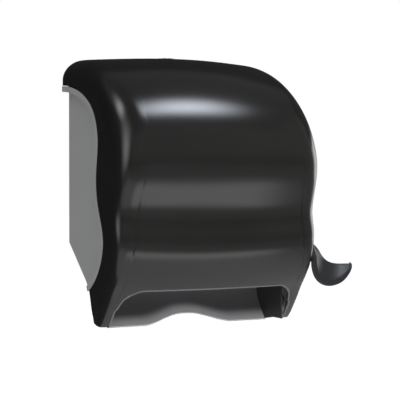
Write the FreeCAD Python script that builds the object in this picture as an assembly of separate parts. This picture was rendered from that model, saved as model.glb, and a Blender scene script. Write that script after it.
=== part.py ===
import FreeCAD, Part
import math
import os
from FreeCAD import Vector

# Wall-mounted lever dispenser for rolled paper towels.
# Millimetres. X runs to the right, the front faces -Y and the wall is the plane Y = 0.
# Positions are given as x, f (forward of the wall) and h (above the chute's lowest edge).

# Overall form
BODY_WIDTH = 256.0
BODY_HEIGHT = 326.0
BODY_DEPTH = 217.5
ORIGIN_H = 190.0            # height of the wall screw pattern's centre, the model's origin
HALF = BODY_WIDTH / 2

# Front cover
COVER_WALL = 2.8
COVER_CROWN = 14.0          # bow of the front across its width
FAN_F, FAN_H = 75.0, 165.0  # the cover's sections fan out from this line
FAN_ROOT = 22.0
FAR = 400.0                 # beyond every piece, for cutters and crossing lines
ROOF_FLAT = 30.0            # depth at which the roof starts to fall
BULGE_H = 196.0
WAIST_DEPTH, WAIST_H = 200.0, 128.0
CHIN_DEPTH, CHIN_H = 202.0, 105.0
LIP_DEPTH, LIP_H = 178.0, 50.0
COVER_BOTTOM = 4.5
WALL_GAP = 1.0              # between the cover and the wall
EDGE_GAP = 0.6              # between the cover's rear edge and the housing's flange
MOUTH_TOP_HALF, MOUTH_MID_HALF, MOUTH_LOW_HALF = 96.0, 107.0, 119.0
MOUTH_MID_H = 32.0
SLIDE_GAP = 0.3             # clearance between pieces that pass each other
RUNNING = 0.05              # radial clearance of a shaft in its bearing

# Rear housing
RECESS = 9.0                # depth of the side panels behind the flange's outer face
HOUSING_WALL = 2.5
BACK_WALL = 3.0
FLANGE_WIDTH = 7.0
BACK_BOTTOM, BACK_TOP = 97.0, BODY_HEIGHT - 7.0
BACK_CORNER = 30.0
RIM_DEPTH = 10.0
FLOOR_END_F, FLOOR_END_H = 68.0, 50.0
PANEL_OUT = HALF - RECESS
PANEL_IN = PANEL_OUT - HOUSING_WALL

# Wall screws
SCREW_SPACING_X, SCREW_SPACING_H = 160.0, 120.0
SCREW_HOLE_R = 2.75
PAD_R, PAD_RISE = 10.0, 2.0

# Cover hinge
HINGE_F, HINGE_H = 122.0, 15.0
HINGE_PIN_R = 2.5
HINGE_BOSS_R = 6.5

# Paper roll and its holder
ROLL_WIDTH = 203.0
ROLL_F, ROLL_H = 101.0, 216.0
ARM_GAP = 2.5               # between the roll's end and the arm
ARM_WALL = 3.0
ARM_PIVOT_F = 14.0
ARM_PIN_R = 2.0
ARM_KNUCKLE_R = 5.0
ARM_HALF_HEIGHT = 15.0
HUB_REACH = 9.0             # length of the plug, measured from the arm
HUB_R = 18.5
HUB_FLANGE_R = 24.0
HUB_AXLE_R = 4.0
ARM_IN = ROLL_WIDTH / 2 + ARM_GAP
ARM_OUT = ARM_IN + ARM_WALL

# Side frames of the feed mechanism
FRAME_WALL = 3.0
FRAME_IN = ROLL_WIDTH / 2 + 1.5
FRAME_OUT = FRAME_IN + FRAME_WALL

# Feed roller, in front of the paper
ROLLER_F, ROLLER_H = 140.0, 95.0
FRAME_FOOT_F = BACK_WALL + 9.0
FRAME_TOP = ROLLER_H + 24.0
ROLLER_SHAFT_R = 4.0
ROLLER_CORE_R = 14.5
SLEEVE_R = 17.0
SLEEVE_LENGTH = 24.0
SLEEVE_COUNT = 5
SLEEVE_PITCH = 40.0
CORE_HALF = FRAME_IN - 4.0
BUSH_R = 7.0

# Pinch roller, behind the paper
PINCH_R = 9.7
PINCH_SHAFT_R = 3.0
PAPER_GAP = 0.3
PINCH_F, PINCH_H = ROLLER_F - SLEEVE_R - PAPER_GAP - PINCH_R, ROLLER_H
PINCH_TRAVEL = 2.0
BLOCK_LENGTH, BLOCK_HEIGHT = 12.0, 9.0
LEAF_WALL = 0.6

# Gears
GEAR_MODULE = 1.5
SECTOR_TEETH = 48           # of the full circle
PINION_TEETH = 12
PRESSURE_ANGLE = 25.0
BACKLASH = 0.35
GEAR_WIDTH = 6.0
CLUTCH_R = 5.8
MESH_SLOPE = 14.0           # slope of the line between the two shafts
CENTRES = GEAR_MODULE * (SECTOR_TEETH + PINION_TEETH) / 2
LEVER_F = ROLLER_F - CENTRES * math.cos(math.radians(MESH_SLOPE))
LEVER_H = ROLLER_H - CENTRES * math.sin(math.radians(MESH_SLOPE))

# Lever
LEVER_SHAFT_R = 5.0
LEVER_HUB_R = 13.0
LEVER_BUSH_R = 8.0
ARM_CLEAR = 2.5             # between the cover's side and the lever
LEVER_ARM_WALL = 7.0
LEVER_SHAFT_END = FRAME_IN - 14.5
GEAR_IN = FRAME_OUT + 1.3
GEAR_OUT = GEAR_IN + GEAR_WIDTH
PINION_OUT = GEAR_OUT + 1.0
CLIP_WALL = 0.6
CLIP_BEHIND = 1.2           # shaft left outside the middle of an end clip
CLIP_GROOVE = 0.8
LEVER_IN = HALF + ARM_CLEAR
LEVER_OUT = LEVER_IN + LEVER_ARM_WALL

# Return spring on the lever shaft
SPRING_WIRE_R = 0.6
SPRING_BOSS_R = 6.2
SPRING_SEAT = 0.05          # between the wire and what it rests on
SPRING_R = SPRING_BOSS_R + SPRING_SEAT + SPRING_WIRE_R
SPRING_TURNS = 3.5
SPRING_PITCH = 2.2
SPRING_LEG = 16.0
SPRING_IN = FRAME_IN - 1.5 - SPRING_TURNS * SPRING_PITCH
SPRING_PEG_R = 1.5
SPRING_WIRE_FLATS = 8       # the fine wire is drawn with this many flats

# Bridge and tear bar
BRIDGE_F, BRIDGE_DEPTH = 132.0, 14.0
BRIDGE_H, BRIDGE_HEIGHT = 60.0, 14.0
BRIDGE_WALL = 2.5
BAR_WALL = 1.2
BAR_DROP = 6.0              # the teeth stand this far below the bridge
TOOTH_PITCH, TOOTH_HEIGHT = 5.0, 3.0
BAR_HALF = 100.0
BAR_SCREW_XS = (-90.0, 0.0, 90.0)

# Towel chute
CHUTE_WALL = 2.5
CHUTE_HALF = 105.0
CHUTE_LIP_F = 97.0
NOTCH_RISE = 11.0
NOTCH_TOP_HALF, NOTCH_LOW_HALF = 16.0, 52.0

# Lock and keeper
LOCK_F = 26.0
LOCK_R = 9.0
LOCK_DEPTH = 20.0
PLUG_R = 5.5
NUT_R, NUT_HEIGHT = 13.0, 4.0
CAM_REACH = 18.0            # unlocked, the cam points to the right
CAM_WALL = 2.5
CAM_TIP_HALF = 2.5
HOOK_DROP = 7.0
KEEPER_WALL = 1.5
KEEPER_HALF = 6.5
UPSTAND_F = 13.0
KEEPER_FOOT = BODY_HEIGHT - 56.0

# Small screws
SCREW_R = 1.7
SCREW_HEAD_R = 3.2
SCREW_HEAD = 2.0
KEEPER_SCREW_X = 9.0
BLIND_END = 0.6             # wall left behind a keeper screw's blind hole


def at(x, f, h):
    """A point of the model from its side, forward and height values."""
    return Vector(x, -f, h - ORIGIN_H)


def save(name, *shapes):
    """Write one sub-part, as one solid or as a group of separate solids."""
    solids = [solid for shape in shapes for solid in shape.Solids]
    whole = solids[0] if len(solids) == 1 else Part.makeCompound(solids)
    whole.exportStep("parts/" + name + ".step")


def mirrored(shape):
    """The same shape on the other side of the middle plane."""
    return shape.mirror(Vector(0, 0, 0), Vector(1, 0, 0))


def corner_wire(points, radius, place):
    """Closed wire through points, each corner rounded to radius or to its own third value."""
    count = len(points)
    edges = []
    starts = []
    ends = []
    for i, point in enumerate(points):
        r = point[2] if len(point) > 2 else radius
        here = Vector(point[0], point[1], 0)
        back = Vector(points[i - 1][0], points[i - 1][1], 0) - here
        ahead = Vector(points[(i + 1) % count][0], points[(i + 1) % count][1], 0) - here
        half = back.getAngle(ahead) / 2
        back.normalize()
        ahead.normalize()
        reach = r / math.tan(half) if r > 0 else 0.0
        starts.append(here + back * reach)
        ends.append(here + ahead * reach)
        if r > 0:
            middle = back + ahead
            middle.normalize()
            top = here + middle * (r / math.sin(half) - r)
            arc = Part.Arc(place(starts[i].x, starts[i].y), place(top.x, top.y), place(ends[i].x, ends[i].y))
            edges.append((i, arc.toShape()))
    lines = []
    for i in range(count):
        a, b = ends[i], starts[(i + 1) % count]
        if (b - a).Length > 1e-6:
            lines.append((i + 0.5, Part.LineSegment(place(a.x, a.y), place(b.x, b.y)).toShape()))
    ordered = [edge for _, edge in sorted(edges + lines, key=lambda item: item[0])]
    return Part.Wire(ordered)


def side_plate(points, x0, x1, radius=0.0):
    """Plate between two X stations, outlined in the f-h plane."""
    wire = corner_wire(points, radius, lambda f, h: at(x0, f, h))
    return Part.Face(wire).extrude(Vector(x1 - x0, 0, 0))


def front_plate(points, f0, f1, radius=0.0):
    """Plate between two depths, outlined in the x-h plane."""
    wire = corner_wire(points, radius, lambda x, h: at(x, f0, h))
    return Part.Face(wire).extrude(Vector(0, f0 - f1, 0))


def top_plate(points, h0, h1, radius=0.0):
    """Plate between two heights, outlined in the x-f plane."""
    wire = corner_wire(points, radius, lambda x, f: at(x, f, h0))
    return Part.Face(wire).extrude(Vector(0, 0, h1 - h0))


def block(x0, x1, f0, f1, h0, h1):
    """Box between two values on each axis."""
    return Part.makeBox(x1 - x0, f1 - f0, h1 - h0, at(x0, f1, h0))


def rod(x0, x1, f, h, r):
    """Cylinder along X."""
    return Part.makeCylinder(r, x1 - x0, at(x0, f, h), Vector(1, 0, 0))


def stud(x, h, f0, f1, r):
    """Cylinder along the depth."""
    return Part.makeCylinder(r, f1 - f0, at(x, f0, h), Vector(0, -1, 0))


def post(x, f, h0, h1, r):
    """Upright cylinder."""
    return Part.makeCylinder(r, h1 - h0, at(x, f, h0), Vector(0, 0, 1))


def ring(x0, x1, f, h, r_out, r_in):
    """Tube along X."""
    return rod(x0, x1, f, h, r_out).cut(rod(x0 - 1, x1 + 1, f, h, r_in))


def chamfered_rod(x0, x1, f, h, r, chamfer):
    """Cylinder along X with both ends chamfered."""
    points = [(x0, 0), (x0, r - chamfer), (x0 + chamfer, r), (x1 - chamfer, r), (x1, r - chamfer), (x1, 0)]
    return lathe_x(points, f, h)


def lathe_x(points, f, h):
    """Turned shape about the X axis line through f, h, from (x, radius) points."""
    corners = [at(x, f, h + r) for x, r in points]
    wire = Part.makePolygon(corners + [corners[0]])
    return Part.Face(wire).revolve(at(0, f, h), Vector(1, 0, 0), 360)


def spline(points):
    """Smooth curve through (f, h) points in the middle plane."""
    curve = Part.BSplineCurve()
    curve.interpolate([at(0, f, h) for f, h in points])
    return curve


def arc_joint(first, last):
    """Where two tangent arcs meet between two nodes, each node being a point and its heading."""
    (p0, t0), (p1, t1) = first, last
    span = p1 - p0
    a = 2 * (1 - t0.dot(t1))
    b = 2 * span.dot(t0 + t1)
    square = span.dot(span)
    reach = square / b
    if a > 1e-6:
        reach = (-b + math.sqrt(b * b + 4 * a * square)) / (2 * a)
    heading = (p1 - t1 * reach) - (p0 + t0 * reach)
    heading.normalize()
    return (p0 + p1 + (t0 - t1) * reach) * 0.5, heading


def joined(nodes):
    """The same nodes with the joint of two tangent arcs between each pair."""
    result = [nodes[0]]
    for first, last in zip(nodes, nodes[1:]):
        result += [arc_joint(first, last), last]
    return result


def followed(curve, count):
    """Nodes of tangent arcs that follow a curve."""
    first, last = curve.FirstParameter, curve.LastParameter
    nodes = []
    for i in range(count):
        u = first + (last - first) * i / (count - 1)
        nodes.append((curve.value(u), curve.tangent(u)[0]))
    return joined(nodes)


def moved(nodes, distance):
    """Nodes of a downward run in the middle plane, moved sideways towards the wall."""
    return [(point + Vector(1, 0, 0).cross(along) * distance, along) for point, along in nodes]


def arcs(nodes):
    """Edges of the arcs from node to node, or of lines where the run is straight."""
    edges = []
    for (start, heading), (end, _) in zip(nodes, nodes[1:]):
        chord = end - start
        along = chord / chord.Length
        side = heading - along * heading.dot(along)
        if side.Length < 1e-4:
            edges.append(Part.LineSegment(start, end).toShape())
            continue
        lean = math.atan2(side.Length, heading.dot(along))
        side.normalize()
        middle = start + chord * 0.5 + side * (chord.Length / 2 * math.tan(lean / 2))
        edges.append(Part.Arc(start, middle, end).toShape())
    return edges


def lines(points):
    """Edges of straight lines from point to point."""
    return [Part.LineSegment(a, b).toShape() for a, b in zip(points, points[1:])]


def prism(edges, x0, x1):
    """Solid between two X stations, from a closed run of edges in the middle plane."""
    face = Part.Face(Part.Wire(edges))
    face.translate(Vector(x0, 0, 0))
    return face.extrude(Vector(x1 - x0, 0, 0))


def band(nodes, distance, x0, x1):
    """Strip of an even thickness along a run of nodes, between two X stations."""
    other = moved(nodes, distance)
    edges = arcs(nodes) + lines([nodes[-1][0], other[-1][0]]) + arcs(other)[::-1]
    return prism(edges + lines([other[0][0], nodes[0][0]]), x0, x1)


def front_profile():
    """Middle line of the cover's front: flat roof, a quarter ellipse, then waist, chin and lip."""
    behind = FAN_F - 0.65 * (BODY_HEIGHT - FAN_H)
    run = [(behind, BODY_HEIGHT), (ROOF_FLAT / 2, BODY_HEIGHT)]
    for degrees in (72, 54, 36, 18):
        t = math.radians(degrees)
        depth = ROOF_FLAT + (BODY_DEPTH - ROOF_FLAT) * math.cos(t)
        run.append((depth, BULGE_H + (BODY_HEIGHT - BULGE_H) * math.sin(t)))
    run.append((BODY_DEPTH, BULGE_H))
    run.append(((BODY_DEPTH + WAIST_DEPTH) / 2, (BULGE_H + WAIST_H) / 2))
    run.append((WAIST_DEPTH, WAIST_H))
    run.append((CHIN_DEPTH, CHIN_H))
    run.append((LIP_DEPTH + 15, LIP_H + 24))
    run.append((LIP_DEPTH, LIP_H))
    run.append((LIP_DEPTH - 21, LIP_H - 25))
    run.append((LIP_DEPTH - 32, COVER_BOTTOM - 2))
    run.append((LIP_DEPTH - 52, COVER_BOTTOM - 30))
    run.append((LIP_DEPTH - 90, COVER_BOTTOM - 50))
    return spline(run)


# Each section of the cover: direction of the fan in degrees, radius of its side corners, and its
# crown as a share of the front's.
COVER_SECTIONS = (
    (118, 34, 0.15), (104, 37, 0.25), (88, 42, 0.55), (70, 46, 0.9), (52, 46, 1.1), (34, 41, 1.1),
    (18, 34, 1.05), (3, 28, 1.0), (-10, 23, 1.0), (-22, 21, 1.0), (-34, 18, 1.0), (-46, 13, 1.0),
    (-58, 8, 1.0), (-70, 8, 1.0), (-82, 8, 1.0),
)


def cover_section(profile, degrees, corner, crown_share, skin):
    """Closed wire of one fan section: two straight sides, two corners and a crowned front."""
    t = math.radians(degrees)
    start = at(0, FAN_F, FAN_H)
    far = at(0, FAN_F + FAR * math.cos(t), FAN_H + FAR * math.sin(t))
    hit = profile.intersectCC(Part.LineSegment(start, far))[0]
    reach = (Vector(hit.X, hit.Y, hit.Z) - start).Length - skin
    half = HALF - skin
    crown = COVER_CROWN * crown_share
    crown_r = (HALF ** 2 + crown ** 2) / (2 * crown) - skin
    r = corner - skin
    centre = reach - crown_r
    base = centre + math.sqrt((crown_r - r) ** 2 - (half - r) ** 2)
    lean = math.atan2(base - centre, half - r)
    end = (crown_r * math.cos(lean), centre + crown_r * math.sin(lean))
    mid = (half - r + r * math.cos(lean / 2), base + r * math.sin(lean / 2))
    root = FAN_ROOT - skin

    def place(x, out):
        return at(x, FAN_F + out * math.cos(t), FAN_H + out * math.sin(t))

    edges = [
        Part.LineSegment(place(-half, root), place(-half, base)),
        Part.Arc(place(-half, base), place(-mid[0], mid[1]), place(-end[0], end[1])),
        Part.Arc(place(-end[0], end[1]), place(0, reach), place(end[0], end[1])),
        Part.Arc(place(end[0], end[1]), place(mid[0], mid[1]), place(half, base)),
        Part.LineSegment(place(half, base), place(half, root)),
        Part.LineSegment(place(half, root), place(-half, root)),
    ]
    return Part.Wire([edge.toShape() for edge in edges])


def cover_form(skin):
    """Outer form of the cover, or its inside when skin is the wall, with a section between each two rows."""
    profile = front_profile()
    rows = [COVER_SECTIONS[0]]
    for row, after in zip(COVER_SECTIONS, COVER_SECTIONS[1:]):
        rows += [tuple((a + b) / 2 for a, b in zip(row, after)), after]
    return Part.makeLoft([cover_section(profile, *row, skin) for row in rows], True, True)


def rear_edge():
    """Nodes of the line along which the cover meets the flange, from the wall to the lower corner."""
    return followed(spline([
        (-6, BODY_HEIGHT - 34.5), (20, BODY_HEIGHT - 36.5), (50, BODY_HEIGHT - 41.5), (88, BODY_HEIGHT - 54),
        (118, BODY_HEIGHT - 77), (128, 218), (122, 178), (130, 142), (145, 106), (137, 80), (93, 44),
    ]), 15)


def cover_region():
    """Everything that belongs to the cover in the side view."""
    edge = rear_edge()[:-1]
    far, top = BODY_DEPTH + 60, BODY_HEIGHT + 40
    corners = [(97, 40), (106, 24), (112, 8), (118, COVER_BOTTOM), (far, COVER_BOTTOM), (far, top), (-6, top)]
    points = [edge[-1][0]] + [at(0, f, h) for f, h in corners] + [edge[0][0]]
    whole = prism(arcs(edge) + lines(points), -HALF - 10, HALF + 10)
    return whole.cut(block(-HALF - 20, HALF + 20, -FAR, WALL_GAP, -FAR, FAR))


def cover_mouth():
    """The opening under the lip, outlined in the front view."""
    low = COVER_BOTTOM - 30
    outline = [
        (-MOUTH_LOW_HALF, low), (-MOUTH_LOW_HALF, COVER_BOTTOM - 2, 14), (-MOUTH_MID_HALF, MOUTH_MID_H, 16),
        (-MOUTH_TOP_HALF, LIP_H, 12), (MOUTH_TOP_HALF, LIP_H, 12), (MOUTH_MID_HALF, MOUTH_MID_H, 16),
        (MOUTH_LOW_HALF, COVER_BOTTOM - 2, 14), (MOUTH_LOW_HALF, low),
    ]
    return front_plate(outline, HINGE_F - 25, BODY_DEPTH + 20)


def make_cover():
    """The front cover with its hinge bosses and the seat of the lock."""
    shell = cover_form(0.0).cut(cover_form(COVER_WALL))
    shell = shell.common(cover_region()).cut(cover_mouth())
    boss_in = PANEL_OUT + HOUSING_WALL
    boss = rod(boss_in, HALF - COVER_WALL + 0.5, HINGE_F, HINGE_H, HINGE_BOSS_R)
    hole = rod(boss_in - 5, HALF - 1.2, HINGE_F, HINGE_H, HINGE_PIN_R + RUNNING)
    roof = BODY_HEIGHT - COVER_WALL
    seat = post(0, LOCK_F, roof - 6, roof + 0.5, NUT_R)
    barrel_hole = post(0, LOCK_F, roof - 20, BODY_HEIGHT + 10, LOCK_R)
    shell = shell.fuse([boss, mirrored(boss), seat]).cut([hole, mirrored(hole), barrel_hole])
    save("cover_shell", shell)


def make_lock():
    """Barrel and nut in the roof, and the plug with the cam that turns in it."""
    top = BODY_HEIGHT - 0.3
    bottom = top - LOCK_DEPTH
    barrel = post(0, LOCK_F, bottom, top, LOCK_R).cut(post(0, LOCK_F, bottom - 1, top + 1, PLUG_R + RUNNING))
    save("lock_barrel", barrel)
    roof_seat = BODY_HEIGHT - COVER_WALL - 6
    corners = []
    for i in range(6):
        t = math.radians(60 * i)
        corners.append((NUT_R * math.cos(t), LOCK_F + NUT_R * math.sin(t)))
    nut = top_plate(corners, roof_seat - NUT_HEIGHT, roof_seat, 1.0)
    save("lock_nut", nut.cut(post(0, LOCK_F, roof_seat - 20, roof_seat + 5, LOCK_R)))
    plug = post(0, LOCK_F, bottom - 0.6, top - 0.4, PLUG_R)
    key = block(-1.0, 1.0, LOCK_F - 3.5, LOCK_F + 3.5, top - 8, top + 1)
    save("lock_plug", plug.cut(key))
    cam_top = bottom - 0.6
    cam_bottom = cam_top - CAM_WALL
    outline = [
        (-6, LOCK_F - 6), (-6, LOCK_F + 6),
        (CAM_REACH, LOCK_F + CAM_TIP_HALF), (CAM_REACH, LOCK_F - CAM_TIP_HALF),
    ]
    cam = top_plate(outline, cam_bottom, cam_top, 2.0)
    hook_half = CAM_TIP_HALF - 0.2
    hook = block(CAM_REACH - 2.6, CAM_REACH - 0.2, LOCK_F - hook_half, LOCK_F + hook_half,
                 cam_bottom - HOOK_DROP, cam_bottom + 1)
    bore = post(0, LOCK_F, cam_bottom - 1, cam_top + 1, SCREW_R)
    save("lock_cam", cam.fuse(hook).cut(bore))
    head = post(0, LOCK_F, cam_bottom - SCREW_HEAD, cam_bottom, SCREW_HEAD_R)
    save("cam_screw", head.fuse(post(0, LOCK_F, cam_bottom, cam_top, SCREW_R)))


def keeper_top():
    """Height of the upstand that the cam's hook reaches behind."""
    return BODY_HEIGHT - 0.3 - LOCK_DEPTH - 0.6 - CAM_WALL - 1.0


def make_keeper():
    """Steel bracket on the back wall, with the upstand that holds the closed cover."""
    top = keeper_top()
    shelf = top - 11
    foot = KEEPER_FOOT
    outline = [(-14, foot, 3), (14, foot, 3), (14, shelf), (-14, shelf)]
    plate = front_plate(outline, BACK_WALL, BACK_WALL + KEEPER_WALL)
    ledge = block(-KEEPER_HALF, KEEPER_HALF, BACK_WALL, UPSTAND_F + KEEPER_WALL, shelf - KEEPER_WALL, shelf)
    upstand = block(-KEEPER_HALF, KEEPER_HALF, UPSTAND_F, UPSTAND_F + KEEPER_WALL, shelf - KEEPER_WALL, top)
    keeper = plate.fuse([ledge, upstand])
    holes = [stud(x, h, 0, 20, SCREW_R) for x, h in keeper_screw_places()]
    save("latch_keeper", keeper.cut(holes))
    front = BACK_WALL + KEEPER_WALL
    screws = []
    for x, h in keeper_screw_places():
        head = stud(x, h, front, front + SCREW_HEAD, SCREW_HEAD_R)
        screws.append(head.fuse(stud(x, h, BLIND_END, front, SCREW_R)))
    save("keeper_screws", *screws)


def keeper_screw_places():
    """Screws through the keeper's foot into the back wall, as x and h."""
    return [(x, KEEPER_FOOT + 9) for x in (-KEEPER_SCREW_X, KEEPER_SCREW_X)]


def wall_screw_places():
    """Centres of the four wall screws, as x and h."""
    half_x, half_h = SCREW_SPACING_X / 2, SCREW_SPACING_H / 2
    return [(x, ORIGIN_H + h) for h in (-half_h, half_h) for x in (-half_x, half_x)]


def housing_flange():
    """Rim that follows the cover's rear edge, flush with the cover's side."""
    flange = band(moved(rear_edge(), EDGE_GAP), FLANGE_WIDTH, PANEL_IN, HALF)
    return flange.cut(behind_wall())


def behind_wall():
    """Cutter for what would reach into the wall."""
    return block(-FAR, FAR, -FAR, 0, -FAR, FAR)


def housing_side():
    """Right-hand side panel with its flange, and the ear that carries the cover's hinge."""
    middle = moved(rear_edge(), EDGE_GAP + FLANGE_WIDTH / 2)
    corners = [at(0, FLOOR_END_F, FLOOR_END_H), at(0, -6, BACK_BOTTOM + 4)]
    edges = arcs(middle) + lines([middle[-1][0]] + corners + [middle[0][0]])
    panel = prism(edges, PANEL_IN, PANEL_OUT).cut(behind_wall())
    ear_outline = [
        (FLOOR_END_F - 6, FLOOR_END_H + 4), (FLOOR_END_F + 26, FLOOR_END_H + 6, 6),
        (HINGE_F + 6, HINGE_H + 7, 6), (HINGE_F + 6, HINGE_H - 7, 6), (HINGE_F - 9, HINGE_H - 7, 10),
    ]
    ear = side_plate(ear_outline, PANEL_IN, PANEL_OUT)
    boss = rod(PANEL_IN - 4, PANEL_OUT + HOUSING_WALL - SLIDE_GAP, HINGE_F, HINGE_H, HINGE_BOSS_R)
    return panel.fuse([housing_flange(), ear, boss])


def housing_floor():
    """Sloping lower wall from the back wall to the chute."""
    run_f, run_h = FLOOR_END_F, FLOOR_END_H - BACK_BOTTOM
    length = math.hypot(run_f, run_h)
    side = (-run_h / length * HOUSING_WALL, run_f / length * HOUSING_WALL)
    low, high = BACK_BOTTOM, BACK_BOTTOM + side[1]
    outline = [
        (0, low), (FLOOR_END_F, FLOOR_END_H), (FLOOR_END_F + side[0], FLOOR_END_H + side[1]),
        (side[0], high), (0, high),
    ]
    return side_plate(outline, -PANEL_IN - 1, PANEL_IN + 1)


def arm_lugs(x):
    """Two lugs on the back wall that hold one roll arm's pin."""
    lugs = []
    for low in (ROLL_H - ARM_HALF_HEIGHT - 10, ROLL_H + ARM_HALF_HEIGHT + SLIDE_GAP):
        high = low + 10 - SLIDE_GAP
        outline = [(x - 5, 0), (x + 5, 0), (x + 5, ARM_PIVOT_F + 5, 4.9), (x - 5, ARM_PIVOT_F + 5, 4.9)]
        lug = top_plate(outline, low, high)
        lugs.append(lug.cut(post(x, ARM_PIVOT_F, low - 1, high + 1, ARM_PIN_R)))
    return lugs


def back_outline(inset):
    """Outline of the back wall, whose upper corners follow the cover's."""
    x, top = PANEL_OUT - inset, BACK_TOP - inset
    low, r = BACK_BOTTOM + inset, BACK_CORNER - inset
    return [(-x, low), (x, low), (x, top, r), (-x, top, r)]


def make_housing():
    """The grey tray on the wall, with every boss, lug and hole that the other pieces need."""
    back = front_plate(back_outline(0.0), 0, BACK_WALL)
    rim = front_plate(back_outline(0.0), 0, RIM_DEPTH)
    rim = rim.cut(front_plate(back_outline(HOUSING_WALL), -1, RIM_DEPTH + 1))
    side = housing_side()
    additions = [rim, side, mirrored(side), housing_floor()]
    pivot_x = (ARM_IN + ARM_OUT) / 2
    additions += arm_lugs(pivot_x) + arm_lugs(-pivot_x)
    for x, h in wall_screw_places():
        additions.append(stud(x, h, 0, BACK_WALL + PAD_RISE, PAD_R))
    rib_low, rib_high = BACK_BOTTOM + 8, KEEPER_FOOT - 12
    for x in (-60, -20, 20, 60):
        additions.append(block(x - 1, x + 1, BACK_WALL - 0.5, BACK_WALL + 4, rib_low, rib_high))
    for x, h in frame_screw_places():
        additions.append(stud(x, h, 0, FRAME_FOOT_F, 4.5))
    housing = back.fuse(additions)
    cuts = []
    for x, h in wall_screw_places():
        cuts.append(stud(x, h, -1, BACK_WALL + PAD_RISE + 1, SCREW_HOLE_R))
    for x, h in frame_screw_places():
        cuts.append(stud(x, h, 1.5, 20, SCREW_R))
    for x, h in keeper_screw_places():
        cuts.append(stud(x, h, BLIND_END, 20, SCREW_R))
    for x, f in chute_screw_places():
        cuts.append(slope_stud(x, f, -4, 4, SCREW_R))
    cuts.append(rod(PANEL_IN - 10, PANEL_OUT + 5, LEVER_F, LEVER_H, LEVER_BUSH_R))
    pin_hole = rod(PANEL_IN - 5, PANEL_OUT + 10, HINGE_F, HINGE_H, HINGE_PIN_R)
    cuts += [pin_hole, mirrored(pin_hole)]
    save("rear_housing", housing.cut(cuts))


def make_hinge_pins():
    """Steel pins in the housing's ears, on which the cover swings."""
    pin = chamfered_rod(PANEL_IN - 4, HALF - 1.6, HINGE_F, HINGE_H, HINGE_PIN_R, 0.5)
    save("cover_hinge_pins", pin, mirrored(pin))


def floor_line(f):
    """Height of the sloping floor's inner face at a depth."""
    slope = (FLOOR_END_H - BACK_BOTTOM) / FLOOR_END_F
    rise = HOUSING_WALL * math.hypot(1, slope)
    return BACK_BOTTOM + slope * f + rise


def floor_normal():
    """Unit vector that stands square on the sloping floor, into the housing."""
    side = Vector(0, -(BACK_BOTTOM - FLOOR_END_H), FLOOR_END_F)
    side.normalize()
    return side


def slope_stud(x, f, low, high, r):
    """Cylinder square to the sloping floor, between two distances from its inner face."""
    side = floor_normal()
    return Part.makeCylinder(r, high - low, at(x, f, floor_line(f)) + side * low, side)


def chute_screw_places():
    """Where the chute's screws stand on the sloping floor, as x and f."""
    return [(x, FLOOR_END_F - 14) for x in (-85, -28, 28, 85)]


def chute_band():
    """Curved plate: it lies on the floor, bends down and sweeps forward to the lip."""
    start = at(0, FLOOR_END_F - 24, floor_line(FLOOR_END_F - 24))
    bend = at(0, FLOOR_END_F + 1.5, floor_line(FLOOR_END_F + 1.5))
    places = [(FLOOR_END_F + 5, 38), (FLOOR_END_F + 11, 22), (CHUTE_LIP_F - 8, 8), (CHUTE_LIP_F, 0)]
    curve = Part.BSplineCurve()
    curve.interpolate(Points=[bend] + [at(0, f, h) for f, h in places],
                      InitialTangent=bend - start, FinalTangent=Vector(0, -1, -0.8))
    sweep = followed(curve, 7)
    return band([(start, sweep[0][1])] + sweep, -CHUTE_WALL, -CHUTE_HALF, CHUTE_HALF)


def make_chute():
    """Towel chute with its wavy lower edge and its screws."""
    plate = chute_band()
    plate = plate.cut(chute_notch())
    holes = [slope_stud(x, f, -1, CHUTE_WALL + 3, SCREW_R) for x, f in chute_screw_places()]
    save("towel_chute", plate.cut(holes))
    screws = []
    for x, f in chute_screw_places():
        head = slope_stud(x, f, CHUTE_WALL, CHUTE_WALL + SCREW_HEAD, SCREW_HEAD_R)
        screws.append(head.fuse(slope_stud(x, f, -HOUSING_WALL, CHUTE_WALL, SCREW_R)))
    save("chute_screws", *screws)


def chute_notch():
    """Cutter for the wave in the chute's lower edge: level, up, level, down and level again."""
    back = CHUTE_LIP_F - 40
    level = Vector(1, 0, 0)
    places = [(-NOTCH_LOW_HALF, -0.5), (-NOTCH_TOP_HALF, NOTCH_RISE)]
    places += [(-x, h) for x, h in places[::-1]]
    wave = joined([(at(x, back, h), level) for x, h in places])
    under = [at(x, back, -20) for x in (NOTCH_LOW_HALF, -NOTCH_LOW_HALF)]
    edges = arcs(wave) + lines([wave[-1][0]] + under + [wave[0][0]])
    return Part.Face(Part.Wire(edges)).extrude(Vector(0, -70, 0))


def frame_screw_places():
    """Screws through the frames' feet into the back wall, as x and h."""
    x, h = FRAME_IN - 8, FRAME_TOP - 9
    return [(-x, h), (x, h)]


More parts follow.
